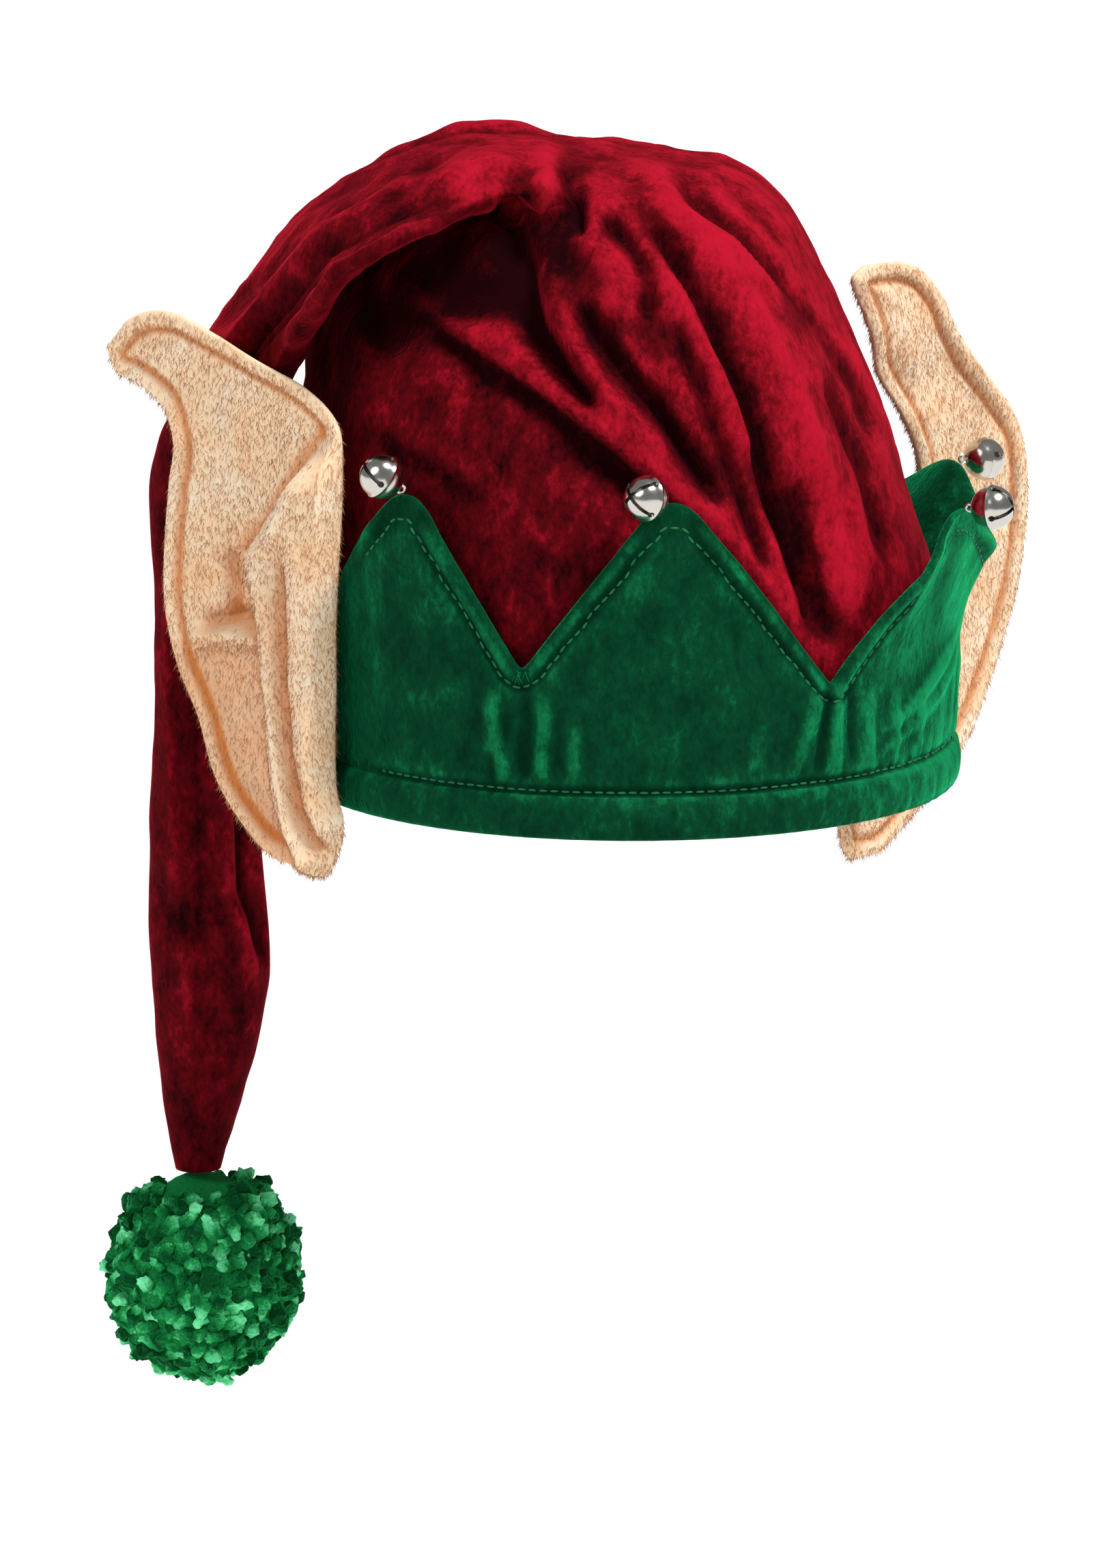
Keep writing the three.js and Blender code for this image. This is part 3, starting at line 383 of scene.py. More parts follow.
def ridges(height, fine, broad):
    """How far each place of a closed grid stands above (+) or below (-) its surroundings."""
    def soften(values, count):
        for _ in range(count):
            values = (values + np.roll(values, 1, 1) + np.roll(values, -1, 1)) / 3
            padded = np.pad(values, ((1, 1), (0, 0)), mode="edge")
            values = (padded[:-2] + padded[1:-1] + padded[2:]) / 3
        return values
    return soften(height, fine) - soften(height, broad)


# Edge of the cuff by direction: tip, following notch and its share of NOTCH_HEIGHT, rise of the
# point, lean of its tip (mm).
POINTS = {
    "front": (6.5, 36.5, 0.83, 1.00, 3),
    "right": (62, 106, 1.00, 0.80, 12.5),
    "back_right": (122, 159, 1.00, 0.72, 21),
    "back": (191, 224, 1.00, 0.95, 4),
    "back_left": (257, 290, 1.00, 0.97, 3),
    "left": (320, 340.5, 0.96, 0.98, 1),
}
TIP_WIDTH = 8


def cuff_edge(at):
    """Height of the cuff's edge, full rise and lean of the point, for directions in degrees."""
    half = math.degrees(TIP_WIDTH / 2 / CROWN_RADIUS)
    rows = list(POINTS.values())
    place, height, full, lean = [], [], [], []
    for k, (tip, notch, deep, rise, out) in enumerate(rows):
        before = rows[k - 1][1] - (360 if k == 0 else 0)
        low, high = NOTCH_HEIGHT * rows[k - 1][2], NOTCH_HEIGHT + rise * POINT_HEIGHT
        sides = ((before, low), (tip - half, high), (tip + half, high),
                 (notch - 0.01, NOTCH_HEIGHT * deep))
        for where, z in sides:
            place.append(where)
            height.append(z)
            full.append(rise * POINT_HEIGHT)
            lean.append(out)
    at = np.mod(at - place[0], 360) + place[0]
    return tuple(np.interp(at, place, column) for column in (height, full, lean))


def stand_off(z):
    return POINT_STAND * smooth((z - NOTCH_HEIGHT) / POINT_HEIGHT)


# Rows are spaced by the length of cloth between them, and stand closer together in front.
table = crown_table()
fine = np.linspace(0, len(table) - 1, 4000)
line = crown_surface(table, fine, np.array([0.35, math.pi - 0.35, 1.5 * math.pi]))
steps = np.linalg.norm(np.diff(line, axis=0), axis=2).max(axis=1)
steps /= np.where(fine[1:] > len(DOME), PEAK_STEP, CROWN_STEP)
run = np.concatenate([[0], np.cumsum(steps)])
crown_places = np.interp(np.linspace(0, run[-1], int(run[-1]) + 1), run, fine)
t = np.linspace(0, 2 * math.pi, CROWN_AROUND, endpoint=False)
crown_turns = t - CROWDING * np.sin(t - 1.5 * math.pi)
crown_points = crown_surface(table, crown_places, crown_turns)
crown_normals = grid_normals(crown_points)
facing = np.broadcast_to(np.sin(crown_turns)[None, :], crown_points.shape[:2])
lift, droop = add_folds(crown_points, facing, crown_places)
on_dome = crown_places[:, None] < DOME_END
slack = smooth((PEAK_TOP + 60 - crown_points[..., 2]) / 60) * (crown_places[:, None] > 14)
wrinkles = 1.4 * wrinkle(crown_points, 13, 3.0, 3.7) + 0.8 * wrinkle(crown_points, 6, 2.4, 9.1)
lift += wrinkles * (1 - 0.6 * slack)

# Under the cuff the cloth lies flat, and just above its edge it may stand out again.
height = crown_points[..., 2]
way = np.degrees(np.arctan2(crown_points[..., 0], -crown_points[..., 1]))
edge, _, _ = cuff_edge(way)
room = mix(stand_off(height) * POINT_ROOM, FREE_ROOM, smooth((height - edge - 1) / 7))
under = on_dome & (height < NOTCH_HEIGHT + POINT_HEIGHT + 8)
lift = np.where(under, np.minimum(lift, room) * smooth((height - NOTCH_HEIGHT + 8) / 12), lift)
lift = np.where(lift < 0, -LIFT_IN * np.tanh(-lift / LIFT_IN), LIFT_OUT * np.tanh(lift / LIFT_OUT))
lift *= smooth((crown_places[-1] - crown_places[:, None]) / 0.6 + 0.25)
# Folds are flatter where the bend is tight and on the crease side of the narrow peak.
outward = np.cos(crown_turns)[None, :]
narrow = smooth((crown_places[:, None] - 7.2) / 0.8) * smooth((0.5 - outward) / 0.5)
lift = np.maximum(lift, -3.2 - 8 * (1 - narrow))
tight = np.exp(-((crown_places[:, None] - 5.2) / 2.6) ** 4) * smooth((0.15 - outward) / 0.5)
lift = np.where(lift > 0, lift * (1 - 0.8 * tight), np.maximum(lift, -LIFT_IN + 7 * tight))
outer = crown_points + crown_normals * lift[..., None]
outer[..., 2] -= np.where(under, 0, droop)

# The lining keeps inside the deepest fold near it.
shrunk = lift.copy()
for axis, reach in ((0, 5), (1, 4)):
    shrunk = np.min([np.roll(shrunk, k, axis) for k in range(-reach, reach + 1)], axis=0)
keep = sorted(set(range(0, len(crown_places) - 1, 6)) | {len(crown_places) - 2})
depth = np.minimum(shrunk[keep], LINING_LIFT) - VELVET
lining = crown_points[keep] + crown_normals[keep] * depth[..., None]

n = CROWN_AROUND
vertices = list(outer.reshape(-1, 3)) + list(lining.reshape(-1, 3))
faces = []
for k in range(len(outer) - 1):
    strip(faces, k * n, (k + 1) * n, n)
start = len(outer) * n
for k in range(len(lining) - 1):
    strip(faces, start + k * n, start + (k + 1) * n, n, inward=True)
strip(faces, start, 0, n)
faces.append(tuple(range((len(outer) - 1) * n, len(outer) * n)))
faces.append(tuple(reversed(range(start + (len(lining) - 1) * n, start + len(lining) * n))))

red_velvet = velvet("crushed velvet, crimson", CRIMSON_DEEP, CRIMSON, CRIMSON_GLEAM, 5, 1.5, 0xF2243E)
crown = mesh_object("crown_velvet", vertices, faces, red_velvet)
# Painted light for the crimson velvet's colour: painted highlight on the ridges, painted shade in the
# valleys.
painted_light = np.tanh(ridges(lift, 1, 40) / 1.4)
# Painted highlight on faces turned up and to the right, toward the key lamp.
faces_key_lamp = crown_normals @ np.array((0.55, -0.1, 0.8))
painted_light += 0.9 * smooth((faces_key_lamp - 0.25) / 0.7) - 0.25
hollow, _, _ = to_line(crown_points[..., 0], crown_points[..., 2], UNDER_BEND)
# Painted shade in the hollow under the bend.
painted_light -= 1.8 * np.exp(-(hollow / 11) ** 2) * on_dome * (facing < 0)
set_attribute(crown, "painted_light", np.concatenate([painted_light.reshape(-1), np.zeros(lining.shape[0] * n)]))
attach(crown, "root")
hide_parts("crown")


# Cuff. A band of green velvet with six points, two layers turned and topstitched 5 mm inside the
# edge; a rolled hem is sewn along its foot, and the cloth gathers below the notches.
CUFF_CLOTH, CUFF_ROOM, CLEARANCE = 2.6, 0.5, 0.3
HEM_HEIGHT, HEM_BULGE = 12.5, 2.2
CUFF_EASE = 1.1
CUFF_COLUMNS = 640
TOPSTITCH_INSET, TOPSTITCH_DEPTH, TOPSTITCH_WIDTH = 5.0, 1.0, 1.0
TIP_PASSES, NOTCH_PASSES = 22, 3
# Where the ears press the cuff flat: direction and half width in degrees.
EAR_SEATS = ((298, 14), (129, 11))
# The deep colour also serves as painted shade between the gathers and the gleam colour as painted highlight
# on their ridges and the right side; both also tint random crush patches.
GREEN_DEEP, GREEN, GREEN_GLEAM = 0x012A18, 0x05482A, 0x16945A

# Gathers: direction, foot and head height (mm), drift of the head in degrees, lift, width in degrees.
GATHERS = [
    (334, 18, 44, 2, 0.8, 1.6),
    (338, 12, 46, -3, 1.4, 1.2),
    (341, 13, 47, 1, -1.0, 1.0),
    (344, 14, 44, 1.5, 1.2, 1.3),
    (350, 16, 36, 0, 0.6, 1.4),
    (20, 16, 34, 3, 0.6, 1.8),
    (28, 14, 44, 6, 1.1, 1.5),
    (33, 13, 46, 3, -0.9, 1.1),
    (37, 13, 47, 0, 1.3, 1.3),
    (41, 15, 44, -1, -0.8, 1.1),
    (45, 14, 42, 0, 0.9, 1.4),
    (52, 14, 40, 0, 0.9, 1.4),
    (60, 14, 36, 0, 0.6, 1.6),
    (47, 22, 50, 34, 1.3, 3.4),
    (44, 16, 42, 40, 0.9, 3.0),
    (75, 14, 40, 4, 0.9, 1.6),
    (84, 14, 42, 3, 0.8, 1.4),
    (102, 13, 45, 2, 1.0, 1.5),
    (108, 13, 46, -2, 1.2, 1.4),
    (155, 13, 44, 2, 1.0, 1.4),
    (161, 13, 46, -1, 1.2, 1.4),
    (220, 13, 45, 2, 1.1, 1.5),
    (226, 13, 46, -2, 1.2, 1.4),
    (286, 13, 45, 2, 1.0, 1.5),
    (291, 13, 46, -1, 1.2, 1.4),
]


def crown_radius_at(at, z):
    place = np.linspace(0, 5, 200)
    rows = blend(table, place)
    ix, ox, depth = (np.interp(z, rows[:, 1], rows[:, k]) for k in (0, 3, 6))
    middle, half = (ix + ox) / 2, (ox - ix) / 2
    sx, sy = np.sin(np.radians(at)) / half, np.cos(np.radians(at)) / depth
    a, b, c = sx ** 2 + sy ** 2, -2 * sx * middle / half, (middle / half) ** 2 - 1
    return (-b + np.sqrt(b * b - 4 * a * c)) / (2 * a)


def cuff_inside(at, full, lean, z):
    above = np.clip((z - NOTCH_HEIGHT * 0.7) / (NOTCH_HEIGHT * 0.3 + full), 0, 1)
    ease = CUFF_EASE * smooth((z - NOTCH_HEIGHT * 0.5) / (NOTCH_HEIGHT * 0.5))
    resting = crown_radius_at(at, z) + ease + stand_off(z)
    return np.maximum(resting, CROWN_RADIUS + lean * above ** 2) + CUFF_ROOM


def ring_noise(at, z, size, tall, salt):
    """Noise around the cuff that meets itself, size around and tall up in mm."""
    a = np.radians(at)
    reach = CROWN_RADIUS / size
    x, y, w = np.cos(a) * reach + salt, np.sin(a) * reach, z / tall
    x, y, w = np.broadcast_arrays(x, y, w)
    out = np.empty(x.shape)
    flat = out.reshape(-1)
    for k, p in enumerate(zip(x.reshape(-1), y.reshape(-1), w.reshape(-1))):
        flat[k] = noise.noise(Vector(p))
    return out


at = np.linspace(0, 360, CUFF_COLUMNS, endpoint=False)
top, full, lean = cuff_edge(at)
peak = NOTCH_HEIGHT + full
rounded = top.copy()
for k in range(TIP_PASSES):
    rounded = 0.25 * np.roll(rounded, 1) + 0.5 * rounded + 0.25 * np.roll(rounded, -1)
    if k == NOTCH_PASSES:
        crisp = rounded.copy()
top = mix(crisp, rounded, smooth((top - NOTCH_HEIGHT) / 24))
top += 0.25 * ring_noise(at, 0 * at, 5, 1, 8.2)
full = np.maximum(top - NOTCH_HEIGHT, 0.6 * full)
cloth_half = CUFF_CLOTH / 2

# Heights of the rows, up the outer face, over the edge and down the inner face.
hem_rows = HEM_HEIGHT * (0.5 - 0.5 * np.cos(np.linspace(0, math.pi, 15)))
low_rows = np.linspace(HEM_HEIGHT + 0.6, 22, 13)
shares = np.linspace(0, 1, 36)[1:]
rim_rows = [1.6, 1.0, 0.5, 0.15, 0.0]
outer_z = [np.full_like(at, z) for z in (*hem_rows, *low_rows)]
outer_z += [mix(22, top - 2.2 * cloth_half, share) for share in shares]
outer_z += [top - cloth_half * s for s in rim_rows]
outer_z = np.array(outer_z)
inner_z = [top - cloth_half * s for s in rim_rows[::-1][1:]]
inner_z += [mix(top - 2.2 * cloth_half, 22, share) for share in np.linspace(0, 1, 15)]
inner_z += [np.full_like(at, z) for z in (HEM_HEIGHT, 6, 0)]
inner_z = np.array(inner_z)


def cuff_rim(z):
    return np.sqrt(1 - np.clip(1 - (top[None, :] - z) / cloth_half, 0, 1) ** 2)


# Distance from each place to the cuff's zigzag edge, laid out flat.
girth = np.radians(at) * CROWN_RADIUS
edge_distance = np.full(outer_z.shape, 99.0)
for k in range(-40, 41):
    run_x = np.roll(girth, k) - girth
    run_x = (run_x + math.pi * CROWN_RADIUS) % (2 * math.pi * CROWN_RADIUS) - math.pi * CROWN_RADIUS
    edge_distance = np.minimum(edge_distance, np.hypot(run_x[None, :], np.roll(top, k)[None, :] - outer_z))

# How far the outer cloth stands off: rolled hem, gathers, soft waves, the groove above the hem, fine
# puckers along it, the topstitched groove and the puffed edge. It lies flat under the ears.
swell = np.where(outer_z <= HEM_HEIGHT,
                 HEM_BULGE * np.sqrt(np.clip(1 - (2 * outer_z / HEM_HEIGHT - 1) ** 2, 0, 1)), 0)
gather = np.zeros(outer_z.shape)
for where, foot, head, drift, height, width in GATHERS:
    share = (outer_z - foot) / (head - foot)
    turn = (at[None, :] - where - drift * share + 180) % 360 - 180
    gather += height * np.exp(-(turn / width) ** 2) * smooth(share / 0.3) * smooth((1 - share) / 0.35)
swell += np.clip(1.35 * gather, -1.1, 2.3)
above_hem = smooth((outer_z - HEM_HEIGHT) / 4)
swell += above_hem * (0.55 + 0.75 * ring_noise(at[None, :], outer_z, 16, 22, 2.3))
swell -= 0.7 * np.exp(-((outer_z - HEM_HEIGHT - 1.2) / 1.1) ** 2)
pucker = ring_noise(at[None, :], outer_z, 2.6, 30, 5.1)
near_hem = np.exp(-((outer_z - HEM_HEIGHT - 2.5) / 4.5) ** 2) + 0.5 * (outer_z < HEM_HEIGHT)
pull = 0.35 + 0.65 * np.exp(-(((at[None, :] - 62 + 180) % 360 - 180) / 24) ** 2)
swell += 0.95 * pucker * near_hem * pull
swell -= TOPSTITCH_DEPTH * np.exp(-((edge_distance - TOPSTITCH_INSET) / TOPSTITCH_WIDTH) ** 2)
swell += 0.45 * np.exp(-((edge_distance - 2.4) / 1.4) ** 2)
sewn = sum(smooth((reach - abs((at - middle + 180) % 360 - 180)) / 4)
           for middle, reach in EAR_SEATS)
swell = np.where(outer_z > HEM_HEIGHT, swell * (1 - 0.85 * sewn[None, :]), swell)
near_tip = smooth((outer_z - peak[None, :] + 12) / 6)
swell *= 1 - near_tip
# The points wave a little in and out.
flutter = smooth((outer_z - NOTCH_HEIGHT) / 30) * (0.7 + 0.9 * ring_noise(at[None, :], outer_z, 26, 30, 7.7))
flutter *= (1 - near_tip) * (1 - sewn[None, :])

rim = cuff_rim(outer_z)
inside = cuff_inside(at[None, :], full[None, :], lean[None, :], outer_z) + flutter
radius = inside + cloth_half + rim * (cloth_half + swell)
inner_flutter = smooth((inner_z - NOTCH_HEIGHT) / 30) * (
    0.7 + 0.9 * ring_noise(at[None, :], inner_z, 26, 30, 7.7))
inner_flutter *= (1 - smooth((inner_z - peak[None, :] + 12) / 6)) * (1 - sewn[None, :])
inner_radius = cuff_inside(at[None, :], full[None, :], lean[None, :], inner_z) + inner_flutter
inner_radius += cloth_half * (1 - cuff_rim(inner_z))


def around_head(at, radius, z):
    a = np.radians(at)
    return np.stack(np.broadcast_arrays(radius * np.sin(a), -radius * np.cos(a), z), -1)


cuff_points = np.concatenate([around_head(at[None, :], radius, outer_z),
                              around_head(at[None, :], inner_radius, inner_z)])
faces = []
for k in range(len(cuff_points)):
    strip(faces, k * CUFF_COLUMNS, (k + 1) % len(cuff_points) * CUFF_COLUMNS, CUFF_COLUMNS)
green_velvet = velvet("crushed velvet, green", GREEN_DEEP, GREEN, GREEN_GLEAM, 6, 1.6, 0x18E08C)
cuff = mesh_object("cuff_velvet", cuff_points.reshape(-1, 3), faces, green_velvet)
# Painted light for the green velvet's colour: painted highlight on the ridges of the gathers, painted shade
# between them.
painted_light = np.tanh(ridges(np.where(outer_z > HEM_HEIGHT, swell, 0.8), 1, 14) / 0.45)
# Painted highlight on the right side of the cuff, toward the key lamp.
painted_light += 0.8 * smooth((np.sin(np.radians(at)) - 0.45) / 0.5)[None, :] - 0.2
set_attribute(cuff, "painted_light", np.concatenate([painted_light.reshape(-1), np.zeros(inner_z.size)]))
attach(cuff, "root")
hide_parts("cuff")


# Ears. Two elf ears of short-pile peach plush, lightly padded and stitched round 6 mm inside the
# rim; the near one has its front rim folded over and stitched down. They are sewn to the cuff.
EAR_WIDTH, EAR_HEIGHT = 62, 160
EAR_LOFT, EAR_RIM, EAR_CUP = 7, 5.5, 5
EAR_ROWS = 110
EAR_ACROSS, EAR_BEHIND = 70, 40
EAR_CLEAR = 1.6
# The third colour is painted shade in the ears' grooves and hollows.
PEACH, PEACH_LIGHT, PEACH_SHADE = 0xFFD2A4, 0xFFEDD0, 0xDE8843

NEAR_EAR = [
    # ox, oz, ix, iz
    (0.16, -0.12, 0.06, -0.12),
    (0.27, -0.11, 0.00, -0.07),
    (0.43, -0.09, -0.03, -0.02),
    (0.60, -0.03, 0.01, 0.04),
    (0.73, 0.04, 0.02, 0.12),
    (0.82, 0.14, 0.01, 0.22),
    (0.94, 0.23, 0.01, 0.31),
    (1.01, 0.33, 0.00, 0.41),
    (1.01, 0.44, -0.02, 0.51),
    (0.98, 0.56, -0.03, 0.61),
    (0.95, 0.63, -0.01, 0.70),
    (1.00, 0.69, 0.17, 0.76),
    (1.09, 0.72, 0.45, 0.80),
    (1.19, 0.74, 0.70, 0.84),
    (1.28, 0.75, 0.92, 0.87),
    (1.33, 0.78, 1.09, 0.87),
    (1.34, 0.80, 1.22, 0.85),
]
FAR_EAR = [
    (-0.10, -0.23, -0.28, -0.23),
    (0.00, -0.21, -0.33, -0.20),
    (0.16, -0.17, -0.34, -0.14),
    (0.36, -0.11, -0.24, -0.07),
    (0.55, -0.04, 0.00, 0.02),
    (0.69, 0.05, 0.02, 0.11),
    (0.81, 0.15, 0.02, 0.20),
    (0.90, 0.25, 0.02, 0.30),
    (0.95, 0.35, 0.12, 0.40),
    (0.95, 0.46, 0.18, 0.50),
    (0.89, 0.55, 0.06, 0.60),
    (0.72, 0.63, -0.10, 0.68),
    (0.54, 0.70, -0.14, 0.74),
    (0.42, 0.76, -0.19, 0.79),
    (0.32, 0.82, -0.25, 0.83),
    (0.18, 0.87, -0.29, 0.87),
    (0.02, 0.89, -0.20, 0.89),
]
# Lines on the near ear in mm across from its seat and up from the hem.
FLAP_EDGE = [(4, 108), (16.5, 94), (26, 81), (34, 72), (30, 60), (27.5, 49), (26, 36), (23.8, 17.6),
             (20.6, 2), (16, -9), (10, -18)]
FLAP_STITCH = [(18, 74), (16.6, 56.7), (15.8, 37.5), (14, 17.4), (9.5, 1.3), (2.6, -9.2)]
CONCHA_RIDGE = [(50, 45), (40, 47.5), (31, 46)]
CONCHA_DENT = [(46, 51), (38, 53), (32, 51)]
CONCHA_WRINKLE = [(41, 70), (40, 60), (41, 54)]


def plush(name, base, light, shade_colour):
    """Short-pile polyester plush: soft matt pile with faint combed streaks, and painted shade, a warmer
    darker colour, in the stitched grooves, under the folded rim and in the hollows of the ear."""
    made, tree = new_material(name)
    where = add_node(tree, "ShaderNodeTexCoord").outputs["Object"]
    drawn = add_node(tree, "ShaderNodeMapping", {"Vector": where, "Rotation": (0.2, 0.3, 0.0),
        "Scale": (1.0, 1.0, 0.28)})
    streak = add_node(tree, "ShaderNodeTexNoise", {"Vector": drawn, "Scale": 1000 / 1.6, "Detail": 3.0,
        "Roughness": 0.6})
    cloud = add_node(tree, "ShaderNodeTexNoise", {"Vector": where, "Scale": 1000 / 14, "Detail": 3.0})
    tone = add_node(tree, "ShaderNodeMath", {0: streak, 1: 0.5, 2: cloud}, operation="MULTIPLY_ADD")
    spread = add_node(tree, "ShaderNodeMapRange", {"Value": tone, "From Min": 0.5, "From Max": 1.0})
    pile = add_node(tree, "ShaderNodeMix", {"Factor": spread, 6: linear(base), 7: linear(light)},
        data_type="RGBA")
    # Painted shade: a point attribute turns the pile warmer and darker in the grooves and hollows.
    groove = add_node(tree, "ShaderNodeAttribute", attribute_name="groove")
    colour = add_node(tree, "ShaderNodeMix", {"Factor": groove.outputs["Fac"], 6: pile.outputs[2],
        7: linear(shade_colour)}, data_type="RGBA")
    relief = add_node(tree, "ShaderNodeBump", {"Height": streak, "Strength": 0.6, "Distance": 0.7 * MM})
    shader = add_node(tree, "ShaderNodeBsdfPrincipled", {
        "Base Color": colour.outputs[2], "Roughness": 0.9, "Specular IOR Level": 0.15,
        "Sheen Weight": 0.45, "Sheen Roughness": 0.5, "Sheen Tint": linear(0xFFEBD8),
        "Subsurface Weight": 0.12, "Subsurface Radius": (0.0022, 0.0012, 0.0008),
        "Subsurface Scale": 1.0, "Normal": relief})
    add_node(tree, "ShaderNodeOutputMaterial", {"Surface": shader})
    return made


def face_outward(mesh, merge=None):
    bm = bmesh.new()
    bm.from_mesh(mesh)
    if merge:
        bmesh.ops.remove_doubles(bm, verts=bm.verts, dist=merge)
    bmesh.ops.recalc_face_normals(bm, faces=bm.faces)
    bm.to_mesh(mesh)
    bm.free()


def ear_mesh(name, rows, at, seat, spread, front, flap, node, material):
    rows = blend(np.array(rows, float), np.linspace(0, len(rows) - 1, EAR_ROWS))
    u = 0.5 - 0.5 * np.cos(np.linspace(0, math.pi, EAR_ACROSS))
    back = 0.5 + 0.5 * np.cos(np.linspace(0, math.pi, EAR_BEHIND))[1:-1]
    u = np.concatenate([u, back])
    to_front = np.arange(len(u)) < EAR_ACROSS
    a = mix(rows[:, None, 0], rows[:, None, 2], u[None, :]) * EAR_WIDTH
    b = mix(rows[:, None, 1], rows[:, None, 3], u[None, :]) * EAR_HEIGHT
    share = np.linspace(0, 1, EAR_ROWS)[:, None]
    outline = [(r[0] * EAR_WIDTH, r[1] * EAR_HEIGHT) for r in rows]
    outline += [(r[2] * EAR_WIDTH, r[3] * EAR_HEIGHT) for r in rows[::-1]]
    outline.append(outline[0])
    edge, _, _ = to_line(a, b, outline)
    rim = np.sqrt(np.clip(edge / (EAR_RIM * 0.55), 0, 1))
    groove = np.exp(-((edge - EAR_RIM) / 1.2) ** 2)
    soft = 0.62 + 0.38 * smooth((edge - EAR_RIM) / 9)
    half = EAR_LOFT / 2 * rim * soft * (1 - 0.45 * groove)
    cup = -(EAR_CUP + 2) * np.sin(math.pi * u)[None, :] * np.sin(math.pi * share)
    face = np.zeros(a.shape)
    # Painted shade in the stitched groove round the rim.
    painted_groove_shade = groove * 0.9
    if flap:
        d, side, _ = to_line(a, b, FLAP_EDGE)
        inside = np.where(side < 0, d, -d)
        off_flap = smooth((1.5 - inside) / 3)
        groove *= off_flap
        half = EAR_LOFT / 2 * rim * soft * (1 - 0.45 * groove)
        begun = smooth((110 - b) / 20)
        # The folded rim: its step, its soft roll and the swell outside its stitching.
        face += 6.0 * smooth((inside + 0.8) / 2.6) * np.clip(edge / 4, 0, 1) ** 0.5 * begun
        face += 2.6 * np.exp(-((inside - 5.5) / 4.0) ** 2) * begun
        stitch, _, run = to_line(a, b, FLAP_STITCH)
        sewn = np.exp(-(stitch / 1.7) ** 2) * smooth(run / 0.1)
        face += 2.4 * np.exp(-((stitch - 7) / 4.5) ** 2) * (inside > 5)
        face -= 3.4 * sewn
        # The hollow of the ear, deeper below its cross ridge.
        low_part = smooth((47 - b) / 5) * (inside < 0)
        face -= (2.6 * smooth((edge - 4) / 7) + 1.5 * np.exp(-((inside + 5) / 4) ** 2)) * low_part
        face -= 2.6 * np.exp(-((a - 36) / 9) ** 2 - ((b - 60) / 12) ** 2) * (inside < 0)
        ridge, side, run = to_line(a, b, CONCHA_RIDGE)
        face += 3.6 * np.exp(-(ridge / 3.4) ** 2)
        dent, _, _ = to_line(a, b, CONCHA_DENT)
        face -= 3.6 * np.exp(-(dent / 2.6) ** 2)
        crease, _, _ = to_line(a, b, CONCHA_WRINKLE)
        face -= 2.2 * np.exp(-(crease / 1.8) ** 2)
        under_flap = np.exp(-((inside + 2.0) / 2.4) ** 2) * (inside < 0.5)
        dents = np.exp(-(dent / 3.4) ** 2) + np.exp(-(crease / 2.6) ** 2)
        # Painted shade in the stitched grooves, along the flap's stitching, under the folded rim, in the
        # dents and in the low hollow.
        painted_groove_shade = groove * 0.9 + sewn * 0.75 + 0.75 * under_flap + 0.7 * dents + 0.35 * low_part
    else:
        d, side, _ = to_line(a, b, [(0, -20), (6, 20), (16, 60), (20, 90), (4, 120)])
        face += 1.8 * np.exp(-(d / 8) ** 2)
    flat = np.stack([a, b, np.where(to_front, 0.0, 60.0)[None, :] + 0 * a], -1)
    lump = np.empty(a.shape)
    spots = lump.reshape(-1)
    for k, p in enumerate(flat.reshape(-1, 3) / (11, 16, 11)):
        spots[k] = noise.noise(Vector(p))
    half = half + 0.8 * lump * rim
    away = np.where(to_front[None, :], half + face * rim, -half)
    out = np.array((math.sin(math.radians(spread)), -math.cos(math.radians(spread)), 0))
    forward = np.array((-out[1], out[0], 0)) * front
    base = seat * np.array((math.sin(math.radians(at)), -math.cos(math.radians(at)), 0))
    points = base + a[..., None] * out + (cup + away)[..., None] * forward
    points[..., 2] += b
    count = len(u)
    faces = []
    for k in range(EAR_ROWS - 1):
        strip(faces, k * count, (k + 1) * count, count)
    faces.append(tuple(reversed(range(count))))
    faces.append(tuple(range((EAR_ROWS - 1) * count, EAR_ROWS * count)))
    low, high = (np.array(corner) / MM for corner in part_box(node))
    points += ((low + high) / 2 - (points.min((0, 1)) + points.max((0, 1))) / 2) * (1, 1, 0)
    points += EAR_CLEAR * np.array((math.sin(math.radians(at)), -math.cos(math.radians(at)), 0))
    made = mesh_object(name, points.reshape(-1, 3), faces, material)
    # The back face gets painted shade only in its rim groove.
    painted_groove_shade = np.where(to_front[None, :], painted_groove_shade, groove * 0.9)
    set_attribute(made, "groove", np.clip(painted_groove_shade, 0, 1))
    face_outward(made.data, merge=0.02 * MM)
    return made


peach_plush = plush("short plush, peach", PEACH, PEACH_LIGHT, PEACH_SHADE)
ear_left = ear_mesh("ear_left_plush", NEAR_EAR, 304.5, 103, 234, 1, True, "ear_left", peach_plush)
ear_right = ear_mesh("ear_right_plush", FAR_EAR, 129.5, 104, 134, -1, False, "ear_right", peach_plush)
for ear, node in ((ear_left, "ear_left"), (ear_right, "ear_right")):
    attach(ear, "root")
    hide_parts(node)


# Pile of the ears. Short fibres over both faces, combed downward, so that the outline looks soft.
# Each is a thin three-sided spike, far thicker than a real fibre, so that it shows.
FIBRE_LENGTH, FIBRE_THICK, FIBRE_DENSITY = 2.8, 0.12, 1.6e6


def socket_id(tree, name):
    return next(i.identifier for i in tree.interface.items_tree
                if i.item_type == "SOCKET" and i.in_out == "INPUT" and i.name == name)


